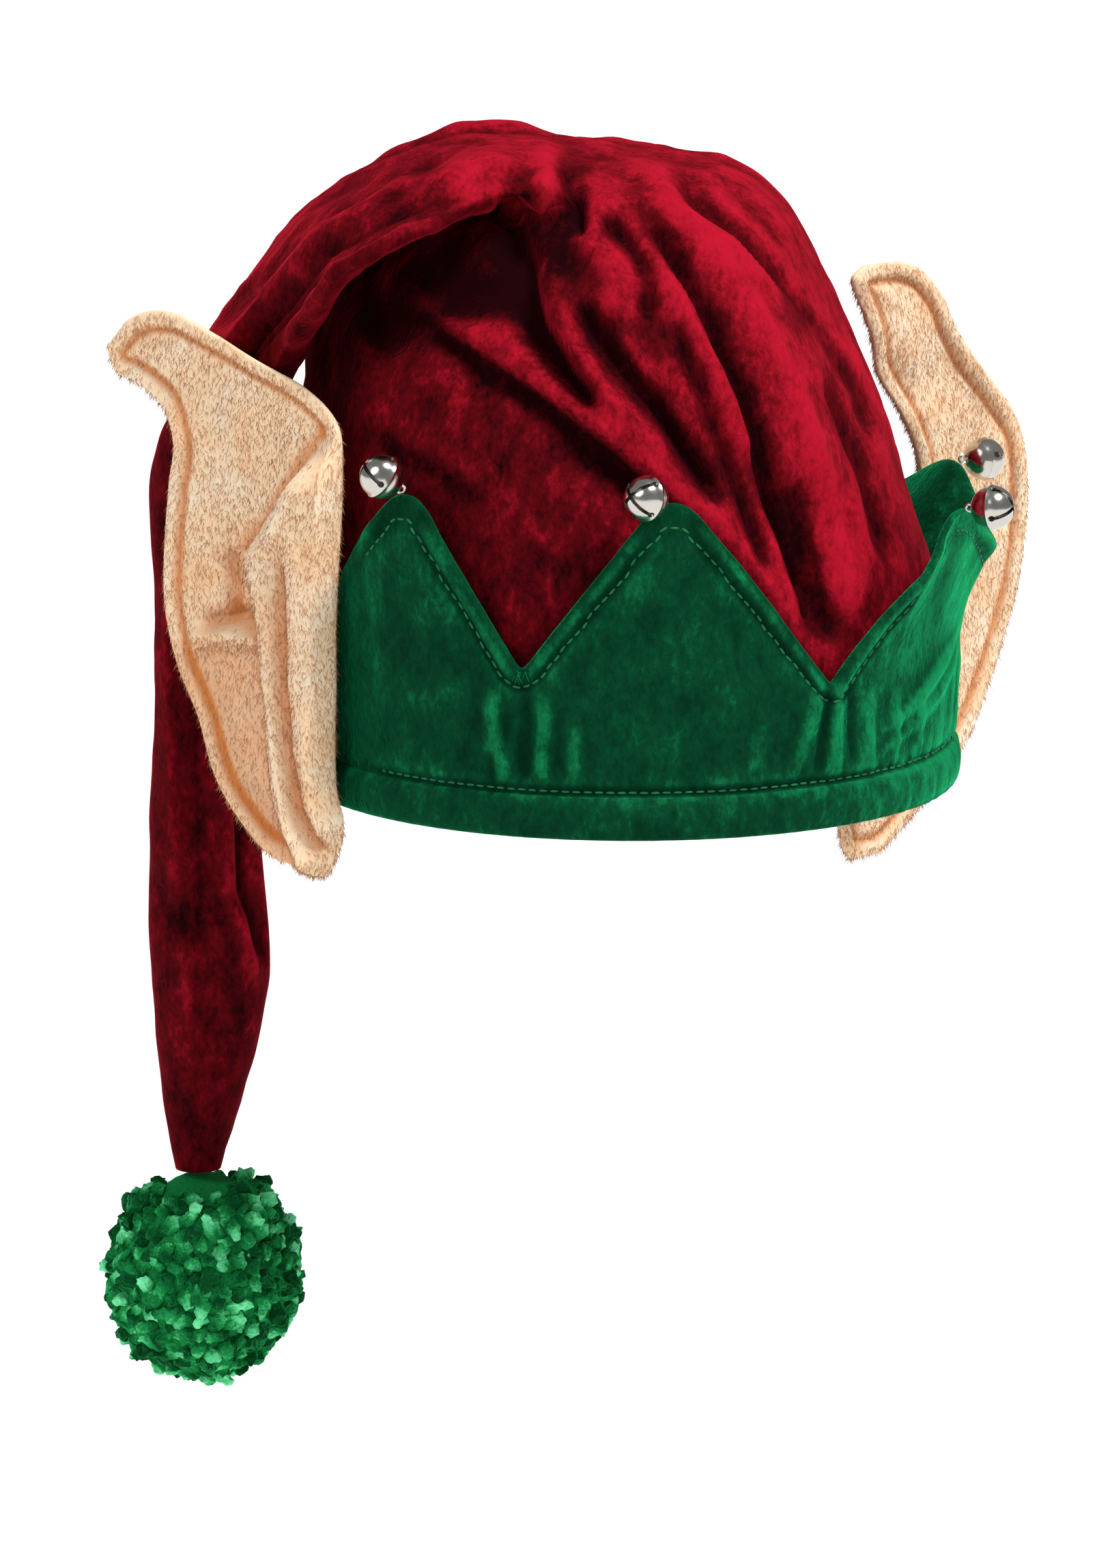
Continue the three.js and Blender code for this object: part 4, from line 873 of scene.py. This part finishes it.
def new_tree(name, **inputs):
    tree = bpy.data.node_groups.new(name, "GeometryNodeTree")
    tree.interface.new_socket("Geometry", in_out="INPUT", socket_type="NodeSocketGeometry")
    tree.interface.new_socket("Geometry", in_out="OUTPUT", socket_type="NodeSocketGeometry")
    for key, kind in inputs.items():
        tree.interface.new_socket(key, in_out="INPUT", socket_type=kind)
    return tree, add_node(tree, "NodeGroupInput"), add_node(tree, "NodeGroupOutput")


def dress(tree, whole, given, result):
    dressed = add_node(tree, "GeometryNodeSetMaterial", {"Geometry": whole,
        "Material": given.outputs["Material"]})
    tree.links.new(dressed.outputs[0], result.inputs[0])


def grow(source, tree, name, **values):
    modifier = source.modifiers.new(tree.name, "NODES")
    modifier.node_group = tree
    for key, value in values.items():
        modifier[socket_id(tree, key)] = value
    depsgraph = bpy.context.evaluated_depsgraph_get()
    mesh = bpy.data.meshes.new_from_object(source.evaluated_get(depsgraph), depsgraph=depsgraph)
    source.modifiers.remove(modifier)
    mesh.name = name
    return add_object(name, mesh)


FLOAT, INTEGER, MATERIAL = "NodeSocketFloat", "NodeSocketInt", "NodeSocketMaterial"
pile_tree, pile_in, pile_out = new_tree("pile", Density=FLOAT, Length=FLOAT, Thickness=FLOAT,
                                        Tilt=FLOAT, Seed=INTEGER, Material=MATERIAL)
spots = add_node(pile_tree, "GeometryNodeDistributePointsOnFaces", {
    "Mesh": pile_in.outputs["Geometry"], "Density": pile_in.outputs["Density"],
    "Seed": pile_in.outputs["Seed"]})
spike = add_node(pile_tree, "GeometryNodeMeshCone", {
    "Vertices": 3, "Radius Top": 0.0, "Radius Bottom": pile_in.outputs["Thickness"],
    "Depth": pile_in.outputs["Length"]}, fill_type="NONE")
lean_by = add_node(pile_tree, "FunctionNodeRandomValue", {0: (-0.8, -0.8, -1.9), 1: (0.8, 0.8, -0.5)},
    data_type="FLOAT_VECTOR")
bent = add_node(pile_tree, "ShaderNodeVectorMath", {0: lean_by, "Scale": pile_in.outputs["Tilt"]},
    operation="SCALE")
upright = add_node(pile_tree, "GeometryNodeInputNormal")
way = add_node(pile_tree, "ShaderNodeVectorMath", {0: upright, 1: bent}, operation="ADD")
turned = add_node(pile_tree, "FunctionNodeAlignRotationToVector", {"Vector": way}, axis="Z")
tall = add_node(pile_tree, "FunctionNodeRandomValue", {2: 0.5, 3: 1.0}, data_type="FLOAT")
size = add_node(pile_tree, "ShaderNodeCombineXYZ", {0: 1.0, 1: 1.0, 2: tall.outputs[1]})
stand = add_node(pile_tree, "GeometryNodeInstanceOnPoints", {
    "Points": spots.outputs["Points"], "Instance": spike.outputs["Mesh"],
    "Rotation": turned, "Scale": size})
rooted = add_node(pile_tree, "GeometryNodeStoreNamedAttribute", {
    "Geometry": spots.outputs["Points"], "Name": "cloth_way", "Value": spots.outputs["Normal"]},
    data_type="FLOAT_VECTOR")
pile_tree.links.new(rooted.outputs[0], stand.inputs["Points"])
real = add_node(pile_tree, "GeometryNodeRealizeInstances", {0: stand})
dress(pile_tree, real, pile_in, pile_out)

fibre, tree = new_material("plush fibre ends, peach")
cloth_way = add_node(tree, "ShaderNodeAttribute", attribute_name="cloth_way")
shader = add_node(tree, "ShaderNodeBsdfDiffuse", {"Color": linear(0xFFD6A8),
    "Normal": cloth_way.outputs["Vector"]})
through = add_node(tree, "ShaderNodeBsdfTranslucent", {"Color": linear(0xFFD2A6)})
both = add_node(tree, "ShaderNodeMixShader", {0: 0.55, 1: shader, 2: through})
add_node(tree, "ShaderNodeOutputMaterial", {"Surface": both})

for ear, name, seed in ((ear_left, "ear_left_pile", 3), (ear_right, "ear_right_pile", 4)):
    pile = grow(ear, pile_tree, name, Density=FIBRE_DENSITY, Length=FIBRE_LENGTH * MM,
                Thickness=FIBRE_THICK * MM, Tilt=0.75, Seed=seed, Material=fibre)
    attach(pile, "root")


# Stitches. Green thread in the groove 5 mm inside the cuff's zigzag edge and in the groove above
# its hem, but not under the ears; each stitch is a small flattened bead lying along the groove.
STITCH_PITCH, STITCH_LENGTH, STITCH_THICK = 3.2, 2.5, 0.75
stitch_tree, stitch_in, stitch_out = new_tree("stitches", Length=FLOAT, Thickness=FLOAT,
                                              Material=MATERIAL)
bead = add_node(stitch_tree, "GeometryNodeMeshIcoSphere", {"Radius": 0.5, "Subdivisions": 2})
run_way = add_node(stitch_tree, "GeometryNodeInputNamedAttribute", {"Name": "run"},
    data_type="FLOAT_VECTOR")
up_way = add_node(stitch_tree, "GeometryNodeInputNamedAttribute", {"Name": "up"},
    data_type="FLOAT_VECTOR")
laid = add_node(stitch_tree, "FunctionNodeAlignRotationToVector", {
    "Vector": run_way.outputs["Attribute"]}, axis="X")
rolled = add_node(stitch_tree, "FunctionNodeAlignRotationToVector", {
    "Rotation": laid, "Vector": up_way.outputs["Attribute"]}, axis="Z", pivot_axis="X")
flat = add_node(stitch_tree, "ShaderNodeMath", {0: stitch_in.outputs["Thickness"], 1: 0.7},
    operation="MULTIPLY")
body = add_node(stitch_tree, "ShaderNodeCombineXYZ", {
    0: stitch_in.outputs["Length"], 1: stitch_in.outputs["Thickness"], 2: flat})
set_out = add_node(stitch_tree, "GeometryNodeInstanceOnPoints", {
    "Points": stitch_in.outputs["Geometry"], "Instance": bead.outputs["Mesh"],
    "Rotation": rolled, "Scale": body})
real = add_node(stitch_tree, "GeometryNodeRealizeInstances", {0: set_out})
dress(stitch_tree, real, stitch_in, stitch_out)

thread, tree = new_material("polyester thread, green")
shader = add_node(tree, "ShaderNodeBsdfPrincipled", {"Base Color": linear(0x0E6B41), "Roughness": 0.5,
    "Specular IOR Level": 0.3})
add_node(tree, "ShaderNodeOutputMaterial", {"Surface": shader})

below = np.argmax((edge_distance > TOPSTITCH_INSET)[::-1], axis=0)
inset_z = outer_z[len(outer_z) - 1 - below, np.arange(CUFF_COLUMNS)]
stitch_rows = []
for row_z in (inset_z, np.full(CUFF_COLUMNS, HEM_HEIGHT + 1.2)):
    row_radius = np.array([np.interp(z, outer_z[:, k], radius[:, k]) for k, z in enumerate(row_z)])
    row = around_head(at, row_radius + 0.1, row_z)
    row = np.concatenate([row, row[:1]])
    covered = np.concatenate([sewn, sewn[:1]])
    run = np.concatenate([[0], np.cumsum(np.linalg.norm(np.diff(row, axis=0), axis=1))])
    stops = np.arange(0, run[-1] - STITCH_PITCH / 2, STITCH_PITCH)
    stops = stops[np.interp(stops, run, covered) < 0.5]
    stitch_rows.append(np.stack([np.interp(stops, run, row[:, axis]) for axis in range(3)], -1))
spots_mesh = bpy.data.meshes.new("stitch_spots")
places = np.concatenate(stitch_rows)
spots_mesh.from_pydata([tuple(p * MM) for p in places], [], [])
runs = np.concatenate([np.roll(row, -1, 0) - np.roll(row, 1, 0) for row in stitch_rows])
ups = places * (1, 1, 0)
for key, vectors in (("run", runs), ("up", ups)):
    unit = vectors / np.linalg.norm(vectors, axis=1, keepdims=True)
    layer = spots_mesh.attributes.new(key, "FLOAT_VECTOR", "POINT")
    layer.data.foreach_set("vector", unit.astype(np.float32).reshape(-1))
stitch_spots = add_object("stitch_spots", spots_mesh)
cuff_stitches = grow(stitch_spots, stitch_tree, "cuff_stitches", Length=STITCH_LENGTH * MM,
                     Thickness=STITCH_THICK * MM, Material=thread)
bpy.data.objects.remove(stitch_spots)
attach(cuff_stitches, "root")


# Frayed ends. Loose velvet threads stick out of the raw cloth in small knots along the cuff's edge.
FRAYS = [
    # direction, depth below the edge and radius of the knot (mm)
    (340.5, 0.5, 1.0),
    (342.0, 1.8, 0.8),
    (159.0, 0.6, 1.1),
    (163.0, 1.6, 0.8),
    (36.5, 0.5, 0.6),
]
FRAY_DENSITY, FRAY_LENGTH, FRAY_THICK = 2.2e6, 4.2, 0.2
frayed, tree = new_material("frayed velvet threads, green")
shader = add_node(tree, "ShaderNodeBsdfDiffuse", {"Color": linear(0x0F6B40)})
add_node(tree, "ShaderNodeOutputMaterial", {"Surface": shader})
knots = bmesh.new()
for direction, drop, size in FRAYS:
    k = int(round(direction / 360 * CUFF_COLUMNS)) % CUFF_COLUMNS
    z = top[k] - drop
    reach = np.interp(z - 1.0, outer_z[:, k], radius[:, k]) - 0.4
    spot = Vector(around_head(direction, reach, z - 0.6) * MM)
    bmesh.ops.create_icosphere(knots, subdivisions=1, radius=size * MM,
                               matrix=Matrix.Translation(spot))
knot_mesh = bpy.data.meshes.new("fray_knots")
knots.to_mesh(knot_mesh)
knots.free()
knot = add_object("fray_knots", knot_mesh)
cuff_frays = grow(knot, pile_tree, "cuff_frays", Density=FRAY_DENSITY, Length=FRAY_LENGTH * MM,
                  Thickness=FRAY_THICK * MM, Tilt=0.5, Seed=21, Material=frayed)
bpy.data.objects.remove(knot)
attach(cuff_frays, "root")


# Bells. Six small nickel-plated jingle bells, one at each point's tip: a pressed dome and a petal
# half with crossed slots, rolled together at the waist, on a wire loop sewn to the tip.
BELL_RADIUS, BELL_WALL, BELL_SLOT, BELL_WAIST = 6.3, 0.6, 1.15, 0.32
LOOP_RADIUS, LOOP_WIRE, PELLET_RADIUS, FACET_SHARE = 1.2, 0.45, 1.7, 0.92
NICKEL = 0xD6D3CC
BELL_PLACES = {
    # out, up, along
    "front": (0.72, 0.24, -0.92),
    "right": (1.20, 0.10, 0.10),
    "back_right": (1.05, -0.05, -0.20),
    "back": (0.80, 0.85, 0.10),
    "back_left": (0.80, 0.85, -0.10),
    "left": (0.62, 0.46, -0.30),
}

nickel, tree = new_material("nickel plate, bright pressed")
where = add_node(tree, "ShaderNodeTexCoord").outputs["Object"]
dull = add_node(tree, "ShaderNodeTexNoise", {"Vector": where, "Scale": 1000 / 2.2, "Detail": 3.0})
rough = add_node(tree, "ShaderNodeMapRange", {"Value": dull, "To Min": 0.12, "To Max": 0.26})
tone = add_node(tree, "ShaderNodeMix", {"Factor": dull, 6: linear(0xC6C2BA), 7: linear(NICKEL)},
    data_type="RGBA")
dents = add_node(tree, "ShaderNodeTexNoise", {"Vector": where, "Scale": 1000 / 5.0, "Detail": 1.0})
waves = add_node(tree, "ShaderNodeBump", {"Height": dents, "Strength": 0.5, "Distance": 0.5 * MM})
shader = add_node(tree, "ShaderNodeBsdfPrincipled", {
    "Base Color": tone.outputs[2], "Metallic": 1.0, "Roughness": rough,
    "Normal": waves})
add_node(tree, "ShaderNodeOutputMaterial", {"Surface": shader})


EYE_RADIUS, EYE_DEPTH, EYE_SIDES = 0.95, 1.6, 14


def lathe(radii, heights, count):
    points, faces = [], []
    turn = np.linspace(0, 2 * math.pi, count, endpoint=False)
    for r, h in zip(radii, heights):
        points += [(r * math.cos(a), r * math.sin(a), h) for a in turn]
    for k in range(len(radii) - 1):
        strip(faces, k * count, (k + 1) * count, count)
    faces.append(tuple(reversed(range(count))))
    faces.append(tuple(range((len(radii) - 1) * count, len(radii) * count)))
    return points, faces


def bell_body():
    """One bell along +Z, slots at +Z and loop at -Z, cut from a pressed shell."""
    t = np.linspace(-math.pi / 2 + 0.02, math.pi / 2 - 0.02, 37)
    waist = BELL_WAIST * np.exp(-(t * BELL_RADIUS / 0.5) ** 2)
    shell = mesh_object("bell_shell", *lathe(BELL_RADIUS * np.cos(t) + waist, BELL_RADIUS * np.sin(t), 48))
    hollow_radius = BELL_RADIUS - BELL_WALL
    hollow = mesh_object("bell_hollow", *lathe(hollow_radius * np.cos(t), hollow_radius * np.sin(t), 32))
    cutters = [hollow]
    for turn in (0, math.pi / 2):
        half, deep, low = BELL_SLOT / 2, BELL_RADIUS * 1.2, BELL_RADIUS * 0.24
        reach = BELL_RADIUS * 1.2
        lobe = [(half * math.cos(a), low + half * math.sin(a))
                for a in np.linspace(math.pi, 2 * math.pi, 9)]
        outline = [(-half, deep)] + lobe + [(half, deep)]
        side = [(-reach, x, z) for x, z in outline] + [(reach, x, z) for x, z in outline]
        side = [(x * math.cos(turn) - y * math.sin(turn), x * math.sin(turn) + y * math.cos(turn), z)
                for x, y, z in side]
        m = len(outline)
        faces = [tuple(range(m)), tuple(reversed(range(m, 2 * m)))]
        faces += [(k, k + m, (k + 1) % m + m, (k + 1) % m) for k in range(m)]
        cutters.append(mesh_object("bell_slot", side, faces))
        for end in (-1, 1):
            out = Vector((end * math.cos(turn), end * math.sin(turn), 0))
            spot = out * BELL_RADIUS * 0.93 + Vector((0, 0, low))
            aside = Vector((-out.y, out.x, 0))
            hole = []
            for far in (-EYE_DEPTH, EYE_DEPTH):
                for b in np.linspace(0, 2 * math.pi, EYE_SIDES, endpoint=False):
                    across = aside * (EYE_RADIUS * math.cos(b))
                    hole.append(spot + out * far + across + Vector((0, 0, EYE_RADIUS * math.sin(b))))
            m = EYE_SIDES
            faces = [tuple(range(m)), tuple(reversed(range(m, 2 * m)))]
            faces += [(k, k + m, (k + 1) % m + m, (k + 1) % m) for k in range(m)]
            cutters.append(mesh_object("bell_eye", [tuple(p) for p in hole], faces))
    for cutter in cutters:
        face_outward(cutter.data)
        modifier = shell.modifiers.new("cut", "BOOLEAN")
        modifier.object = cutter
        modifier.solver = "EXACT"
    depsgraph = bpy.context.evaluated_depsgraph_get()
    mesh = bpy.data.meshes.new_from_object(shell.evaluated_get(depsgraph), depsgraph=depsgraph)
    for used in [shell, *cutters]:
        bpy.data.objects.remove(used)
    bm = bmesh.new()
    bm.from_mesh(mesh)
    turns, sides = 20, 8
    centre = Vector((0, 0, -BELL_RADIUS - LOOP_RADIUS * 0.55)) * MM
    rings = []
    for i in range(turns):
        a = 2 * math.pi * i / turns
        middle = centre + Vector((math.cos(a), 0, math.sin(a))) * LOOP_RADIUS * MM
        ring = []
        for k in range(sides):
            b = 2 * math.pi * k / sides
            off = Vector((math.cos(a) * math.cos(b), math.sin(b), math.sin(a) * math.cos(b)))
            ring.append(bm.verts.new(middle + off * LOOP_WIRE * MM))
        rings.append(ring)
    for i in range(turns):
        for k in range(sides):
            bm.faces.new((rings[i][k], rings[i][(k + 1) % sides],
                          rings[(i + 1) % turns][(k + 1) % sides], rings[(i + 1) % turns][k]))
    bmesh.ops.recalc_face_normals(bm, faces=bm.faces)
    bm.to_mesh(mesh)
    bm.free()
    return mesh


bell_mesh = bell_body()
pellet_rest = (BELL_RADIUS - BELL_WALL) * FACET_SHARE - PELLET_RADIUS - CLEARANCE
for name, (step_out, step_up, step_along) in BELL_PLACES.items():
    a = math.radians(POINTS[name][0])
    axis = Vector((math.sin(a), -math.cos(a), 0)) * step_out
    axis += Vector((math.cos(a), math.sin(a), 0)) * step_along
    axis = (axis + Vector((0, 0, step_up))).normalized()
    low, high = (Vector(corner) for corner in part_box(f"pellet_{name}"))
    centre = (low + high) / 2 + Vector((0, 0, pellet_rest * MM))
    mesh = bell_mesh.copy()
    spin = Vector((0, 0, 1)).rotation_difference(axis).to_matrix().to_4x4()
    spin.translation = centre
    mesh.transform(spin)
    mesh.materials.clear()
    mesh.materials.append(nickel)
    bell = add_object(f"bell_{name}_shell", mesh)
    for polygon in mesh.polygons:
        polygon.use_smooth = True
    mesh.set_sharp_from_angle(angle=math.radians(38))
    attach(bell, "root")
    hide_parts(f"bell_{name}")
    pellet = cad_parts[f"pellet_{name}"]
    for slot in pellet.material_slots:
        slot.material = nickel
bpy.data.meshes.remove(bell_mesh)


# Pompom. A ball of green chenille yarn on the peak's end: hundreds of short fat cut ends, each a
# lumpy tuft that stands about half out of a tied core.
POMPOM_WIDTH, POMPOM_HEIGHT = 62, 69
TUFT_LENGTH, TUFT_RADIUS = 9.5, 2.4
# The deep colour is painted shade toward each tuft's base in the core and the gleam colour painted highlight
# toward its tip, mixed with a random tone per tuft.
POMPOM_DEEP, POMPOM_GREEN, POMPOM_GLEAM = 0x064A22, 0x26B45E, 0x86FFBC

chenille, tree = new_material("chenille yarn, green")
where = add_node(tree, "ShaderNodeTexCoord").outputs["Object"]
hair = add_node(tree, "ShaderNodeTexNoise", {"Vector": where, "Scale": 1000 / 0.9, "Detail": 3.0,
    "Roughness": 0.7})
along = add_node(tree, "ShaderNodeAttribute", attribute_name="along")
shade = add_node(tree, "ShaderNodeAttribute", attribute_name="shade")
base = add_node(tree, "ShaderNodeMath", {0: hair, 1: 0.7, 2: shade.outputs["Fac"]},
    operation="MULTIPLY_ADD")
# Painted shade and painted highlight: darker toward each tuft's base, lighter toward its tip.
tone = add_node(tree, "ShaderNodeMath", {0: along.outputs["Fac"], 1: 0.45, 2: base},
    operation="MULTIPLY_ADD")
ramp = add_node(tree, "ShaderNodeMapRange", {"Value": tone, "From Min": 0.1, "From Max": 0.75})
low = add_node(tree, "ShaderNodeMix", {"Factor": ramp, 6: linear(POMPOM_DEEP), 7: linear(POMPOM_GREEN)},
    data_type="RGBA")
bright = add_node(tree, "ShaderNodeMapRange", {"Value": tone, "From Min": 0.5, "From Max": 1.0})
colour = add_node(tree, "ShaderNodeMix", {"Factor": bright, 6: low.outputs[2], 7: linear(POMPOM_GLEAM)},
    data_type="RGBA")
relief = add_node(tree, "ShaderNodeBump", {"Height": hair, "Strength": 0.8, "Distance": 0.6 * MM})
shader = add_node(tree, "ShaderNodeBsdfPrincipled", {
    "Base Color": colour.outputs[2], "Roughness": 0.75, "Specular IOR Level": 0.06,
    "Sheen Weight": 0.8, "Sheen Roughness": 0.4, "Sheen Tint": linear(0x2CF07C),
    "Normal": relief})
add_node(tree, "ShaderNodeOutputMaterial", {"Surface": shader})

tuft_tree, tuft_in, tuft_out = new_tree("tufts", Spacing=FLOAT, Length=FLOAT, Radius=FLOAT, Lump=FLOAT,
                                        Seed=INTEGER, Material=MATERIAL)
spots = add_node(tuft_tree, "GeometryNodeDistributePointsOnFaces", {
    "Mesh": tuft_in.outputs["Geometry"], "Distance Min": tuft_in.outputs["Spacing"],
    "Density Max": 400000.0, "Seed": tuft_in.outputs["Seed"]}, distribute_method="POISSON")
free = add_node(tuft_tree, "GeometryNodeInputNamedAttribute", {"Name": "free"}, data_type="FLOAT")
tuft_tree.links.new(free.outputs["Attribute"], spots.inputs["Density Factor"])
ball = add_node(tuft_tree, "GeometryNodeMeshIcoSphere", {"Radius": 1.0, "Subdivisions": 3})
place = add_node(tuft_tree, "GeometryNodeInputPosition")
parts = add_node(tuft_tree, "ShaderNodeSeparateXYZ", {0: place})
# Height along each tuft, which the chenille colour turns into painted shade at the base and painted
# highlight at the tip.
graded = add_node(tuft_tree, "GeometryNodeStoreNamedAttribute", {
    "Geometry": ball.outputs["Mesh"], "Name": "along", "Value": parts.outputs["Z"]}, data_type="FLOAT")
long = add_node(tuft_tree, "ShaderNodeMath", {0: tuft_in.outputs["Length"], 1: 0.5}, operation="MULTIPLY")
body = add_node(tuft_tree, "ShaderNodeCombineXYZ", {0: tuft_in.outputs["Radius"],
    1: tuft_in.outputs["Radius"], 2: long})
lean_by = add_node(tuft_tree, "FunctionNodeRandomValue", {0: (-0.8, -0.8, -0.8), 1: (0.8, 0.8, 0.8)},
    data_type="FLOAT_VECTOR")
upright = add_node(tuft_tree, "GeometryNodeInputNormal")
way = add_node(tuft_tree, "ShaderNodeVectorMath", {0: upright, 1: lean_by}, operation="ADD")
turned = add_node(tuft_tree, "FunctionNodeAlignRotationToVector", {"Vector": way}, axis="Z")
vary = add_node(tuft_tree, "FunctionNodeRandomValue", {2: 0.7, 3: 1.15, "Seed": 5}, data_type="FLOAT")
sized = add_node(tuft_tree, "ShaderNodeVectorMath", {0: body, "Scale": vary.outputs[1]},
    operation="SCALE")
stand = add_node(tuft_tree, "GeometryNodeInstanceOnPoints", {
    "Points": spots.outputs["Points"], "Instance": graded.outputs["Geometry"],
    "Rotation": turned, "Scale": sized})
toned = add_node(tuft_tree, "FunctionNodeRandomValue", {2: -0.3, 3: 0.3, "Seed": 9}, data_type="FLOAT")
shaded = add_node(tuft_tree, "GeometryNodeStoreNamedAttribute", {
    "Geometry": stand, "Name": "shade", "Value": toned.outputs[1]}, data_type="FLOAT",
    domain="INSTANCE")
real = add_node(tuft_tree, "GeometryNodeRealizeInstances", {0: shaded})
rough_noise = add_node(tuft_tree, "ShaderNodeTexNoise", {"Scale": 1000 / 2.6, "Detail": 2.0},
    noise_dimensions="3D")
centred = add_node(tuft_tree, "ShaderNodeVectorMath", {0: rough_noise.outputs["Color"], 1: (0.5, 0.5,
    0.5)}, operation="SUBTRACT")
push = add_node(tuft_tree, "ShaderNodeVectorMath", {0: centred, "Scale": tuft_in.outputs["Lump"]},
    operation="SCALE")
lumpy = add_node(tuft_tree, "GeometryNodeSetPosition", {"Geometry": real, "Offset": push})
whole = add_node(tuft_tree, "GeometryNodeJoinGeometry")
tuft_tree.links.new(tuft_in.outputs["Geometry"], whole.inputs[0])
tuft_tree.links.new(lumpy.outputs[0], whole.inputs[0])
dress(tuft_tree, whole, tuft_in, tuft_out)

low, high = (np.array(corner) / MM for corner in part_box("pompom"))
pompom_middle = (low + high) / 2 + (0, 0, -1.0)
core = bpy.data.meshes.new("pompom_core")
bm = bmesh.new()
bmesh.ops.create_icosphere(bm, subdivisions=4, radius=1)
inset = TUFT_LENGTH * 0.5
for vert in bm.verts:
    d = vert.co.normalized()
    swell = 1 + 0.07 * noise.noise(d * 2.1 + Vector((4, 1, 7)))
    vert.co = Vector((d.x * (POMPOM_WIDTH / 2 - inset), d.y * (POMPOM_WIDTH / 2 - inset),
                      d.z * (POMPOM_HEIGHT / 2 - inset))) * swell * MM
    vert.co += Vector(pompom_middle * MM)
bm.to_mesh(core)
bm.free()
core_object = add_object("pompom_core", core)
core.materials.append(chenille)
socket = np.array((PEAK_X - 0.14 * PEAK_WIDTH, PEAK_Y, PEAK_TOP - PEAK_LENGTH))
free = [float(np.linalg.norm(np.array(vert.co) / MM - socket) > 14) for vert in core.vertices]
set_attribute(core_object, "free", free)
pompom = grow(core_object, tuft_tree, "pompom_chenille", Spacing=3.9 * MM, Length=TUFT_LENGTH * MM,
              Radius=TUFT_RADIUS * MM, Lump=5.0 * MM, Seed=11, Material=chenille)
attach(pompom, "root")
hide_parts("pompom")
bpy.data.objects.remove(core_object)


# Floor and light. A plain pale floor below the pompom, and large soft lamps in front, above and at
# both sides, as in a product photograph. The floor lies low enough to keep shadows out of the frame.
FLOOR_BELOW, FLOOR_REACH, WORLD_LIGHT = 0.35, 12, 0.22
floor_mesh = bpy.data.meshes.new("floor")
floor_z = cad_box[0][2] - FLOOR_BELOW
corners = [(x * FLOOR_REACH, y * FLOOR_REACH, floor_z) for x, y in ((-1, -1), (1, -1), (1, 1), (-1, 1))]
floor_mesh.from_pydata(corners, [], [(0, 1, 2, 3)])
floor = add_object("floor", floor_mesh)
white, tree = new_material("matt paper, white")
shader = add_node(tree, "ShaderNodeBsdfPrincipled", {"Base Color": (0.95, 0.95, 0.95, 1), "Roughness": 0.9})
add_node(tree, "ShaderNodeOutputMaterial", {"Surface": shader})
floor_mesh.materials.append(white)

world = bpy.data.worlds.new("studio")
world.use_nodes = True
world.node_tree.nodes["Background"].inputs[0].default_value = (1, 1, 1, 1)
world.node_tree.nodes["Background"].inputs[1].default_value = WORLD_LIGHT
bpy.context.scene.world = world
bpy.context.scene.view_settings.view_transform = "Standard"

LAMPS = [
    # name, direction it comes from, width of the soft source (degrees), strength
    ("key", (0.8, -0.5, 1.6), 18, 3.1),
    ("fill", (-0.9, -0.9, 0.9), 40, 0.9),
]
for name, source, width, strength in LAMPS:
    lamp_data = bpy.data.lights.new(name, "SUN")
    lamp_data.angle = math.radians(width)
    lamp_data.energy = strength
    lamp = add_object(name, lamp_data)
    lamp.location = source
    lamp.rotation_euler = Vector(source).to_track_quat("Z", "Y").to_euler()
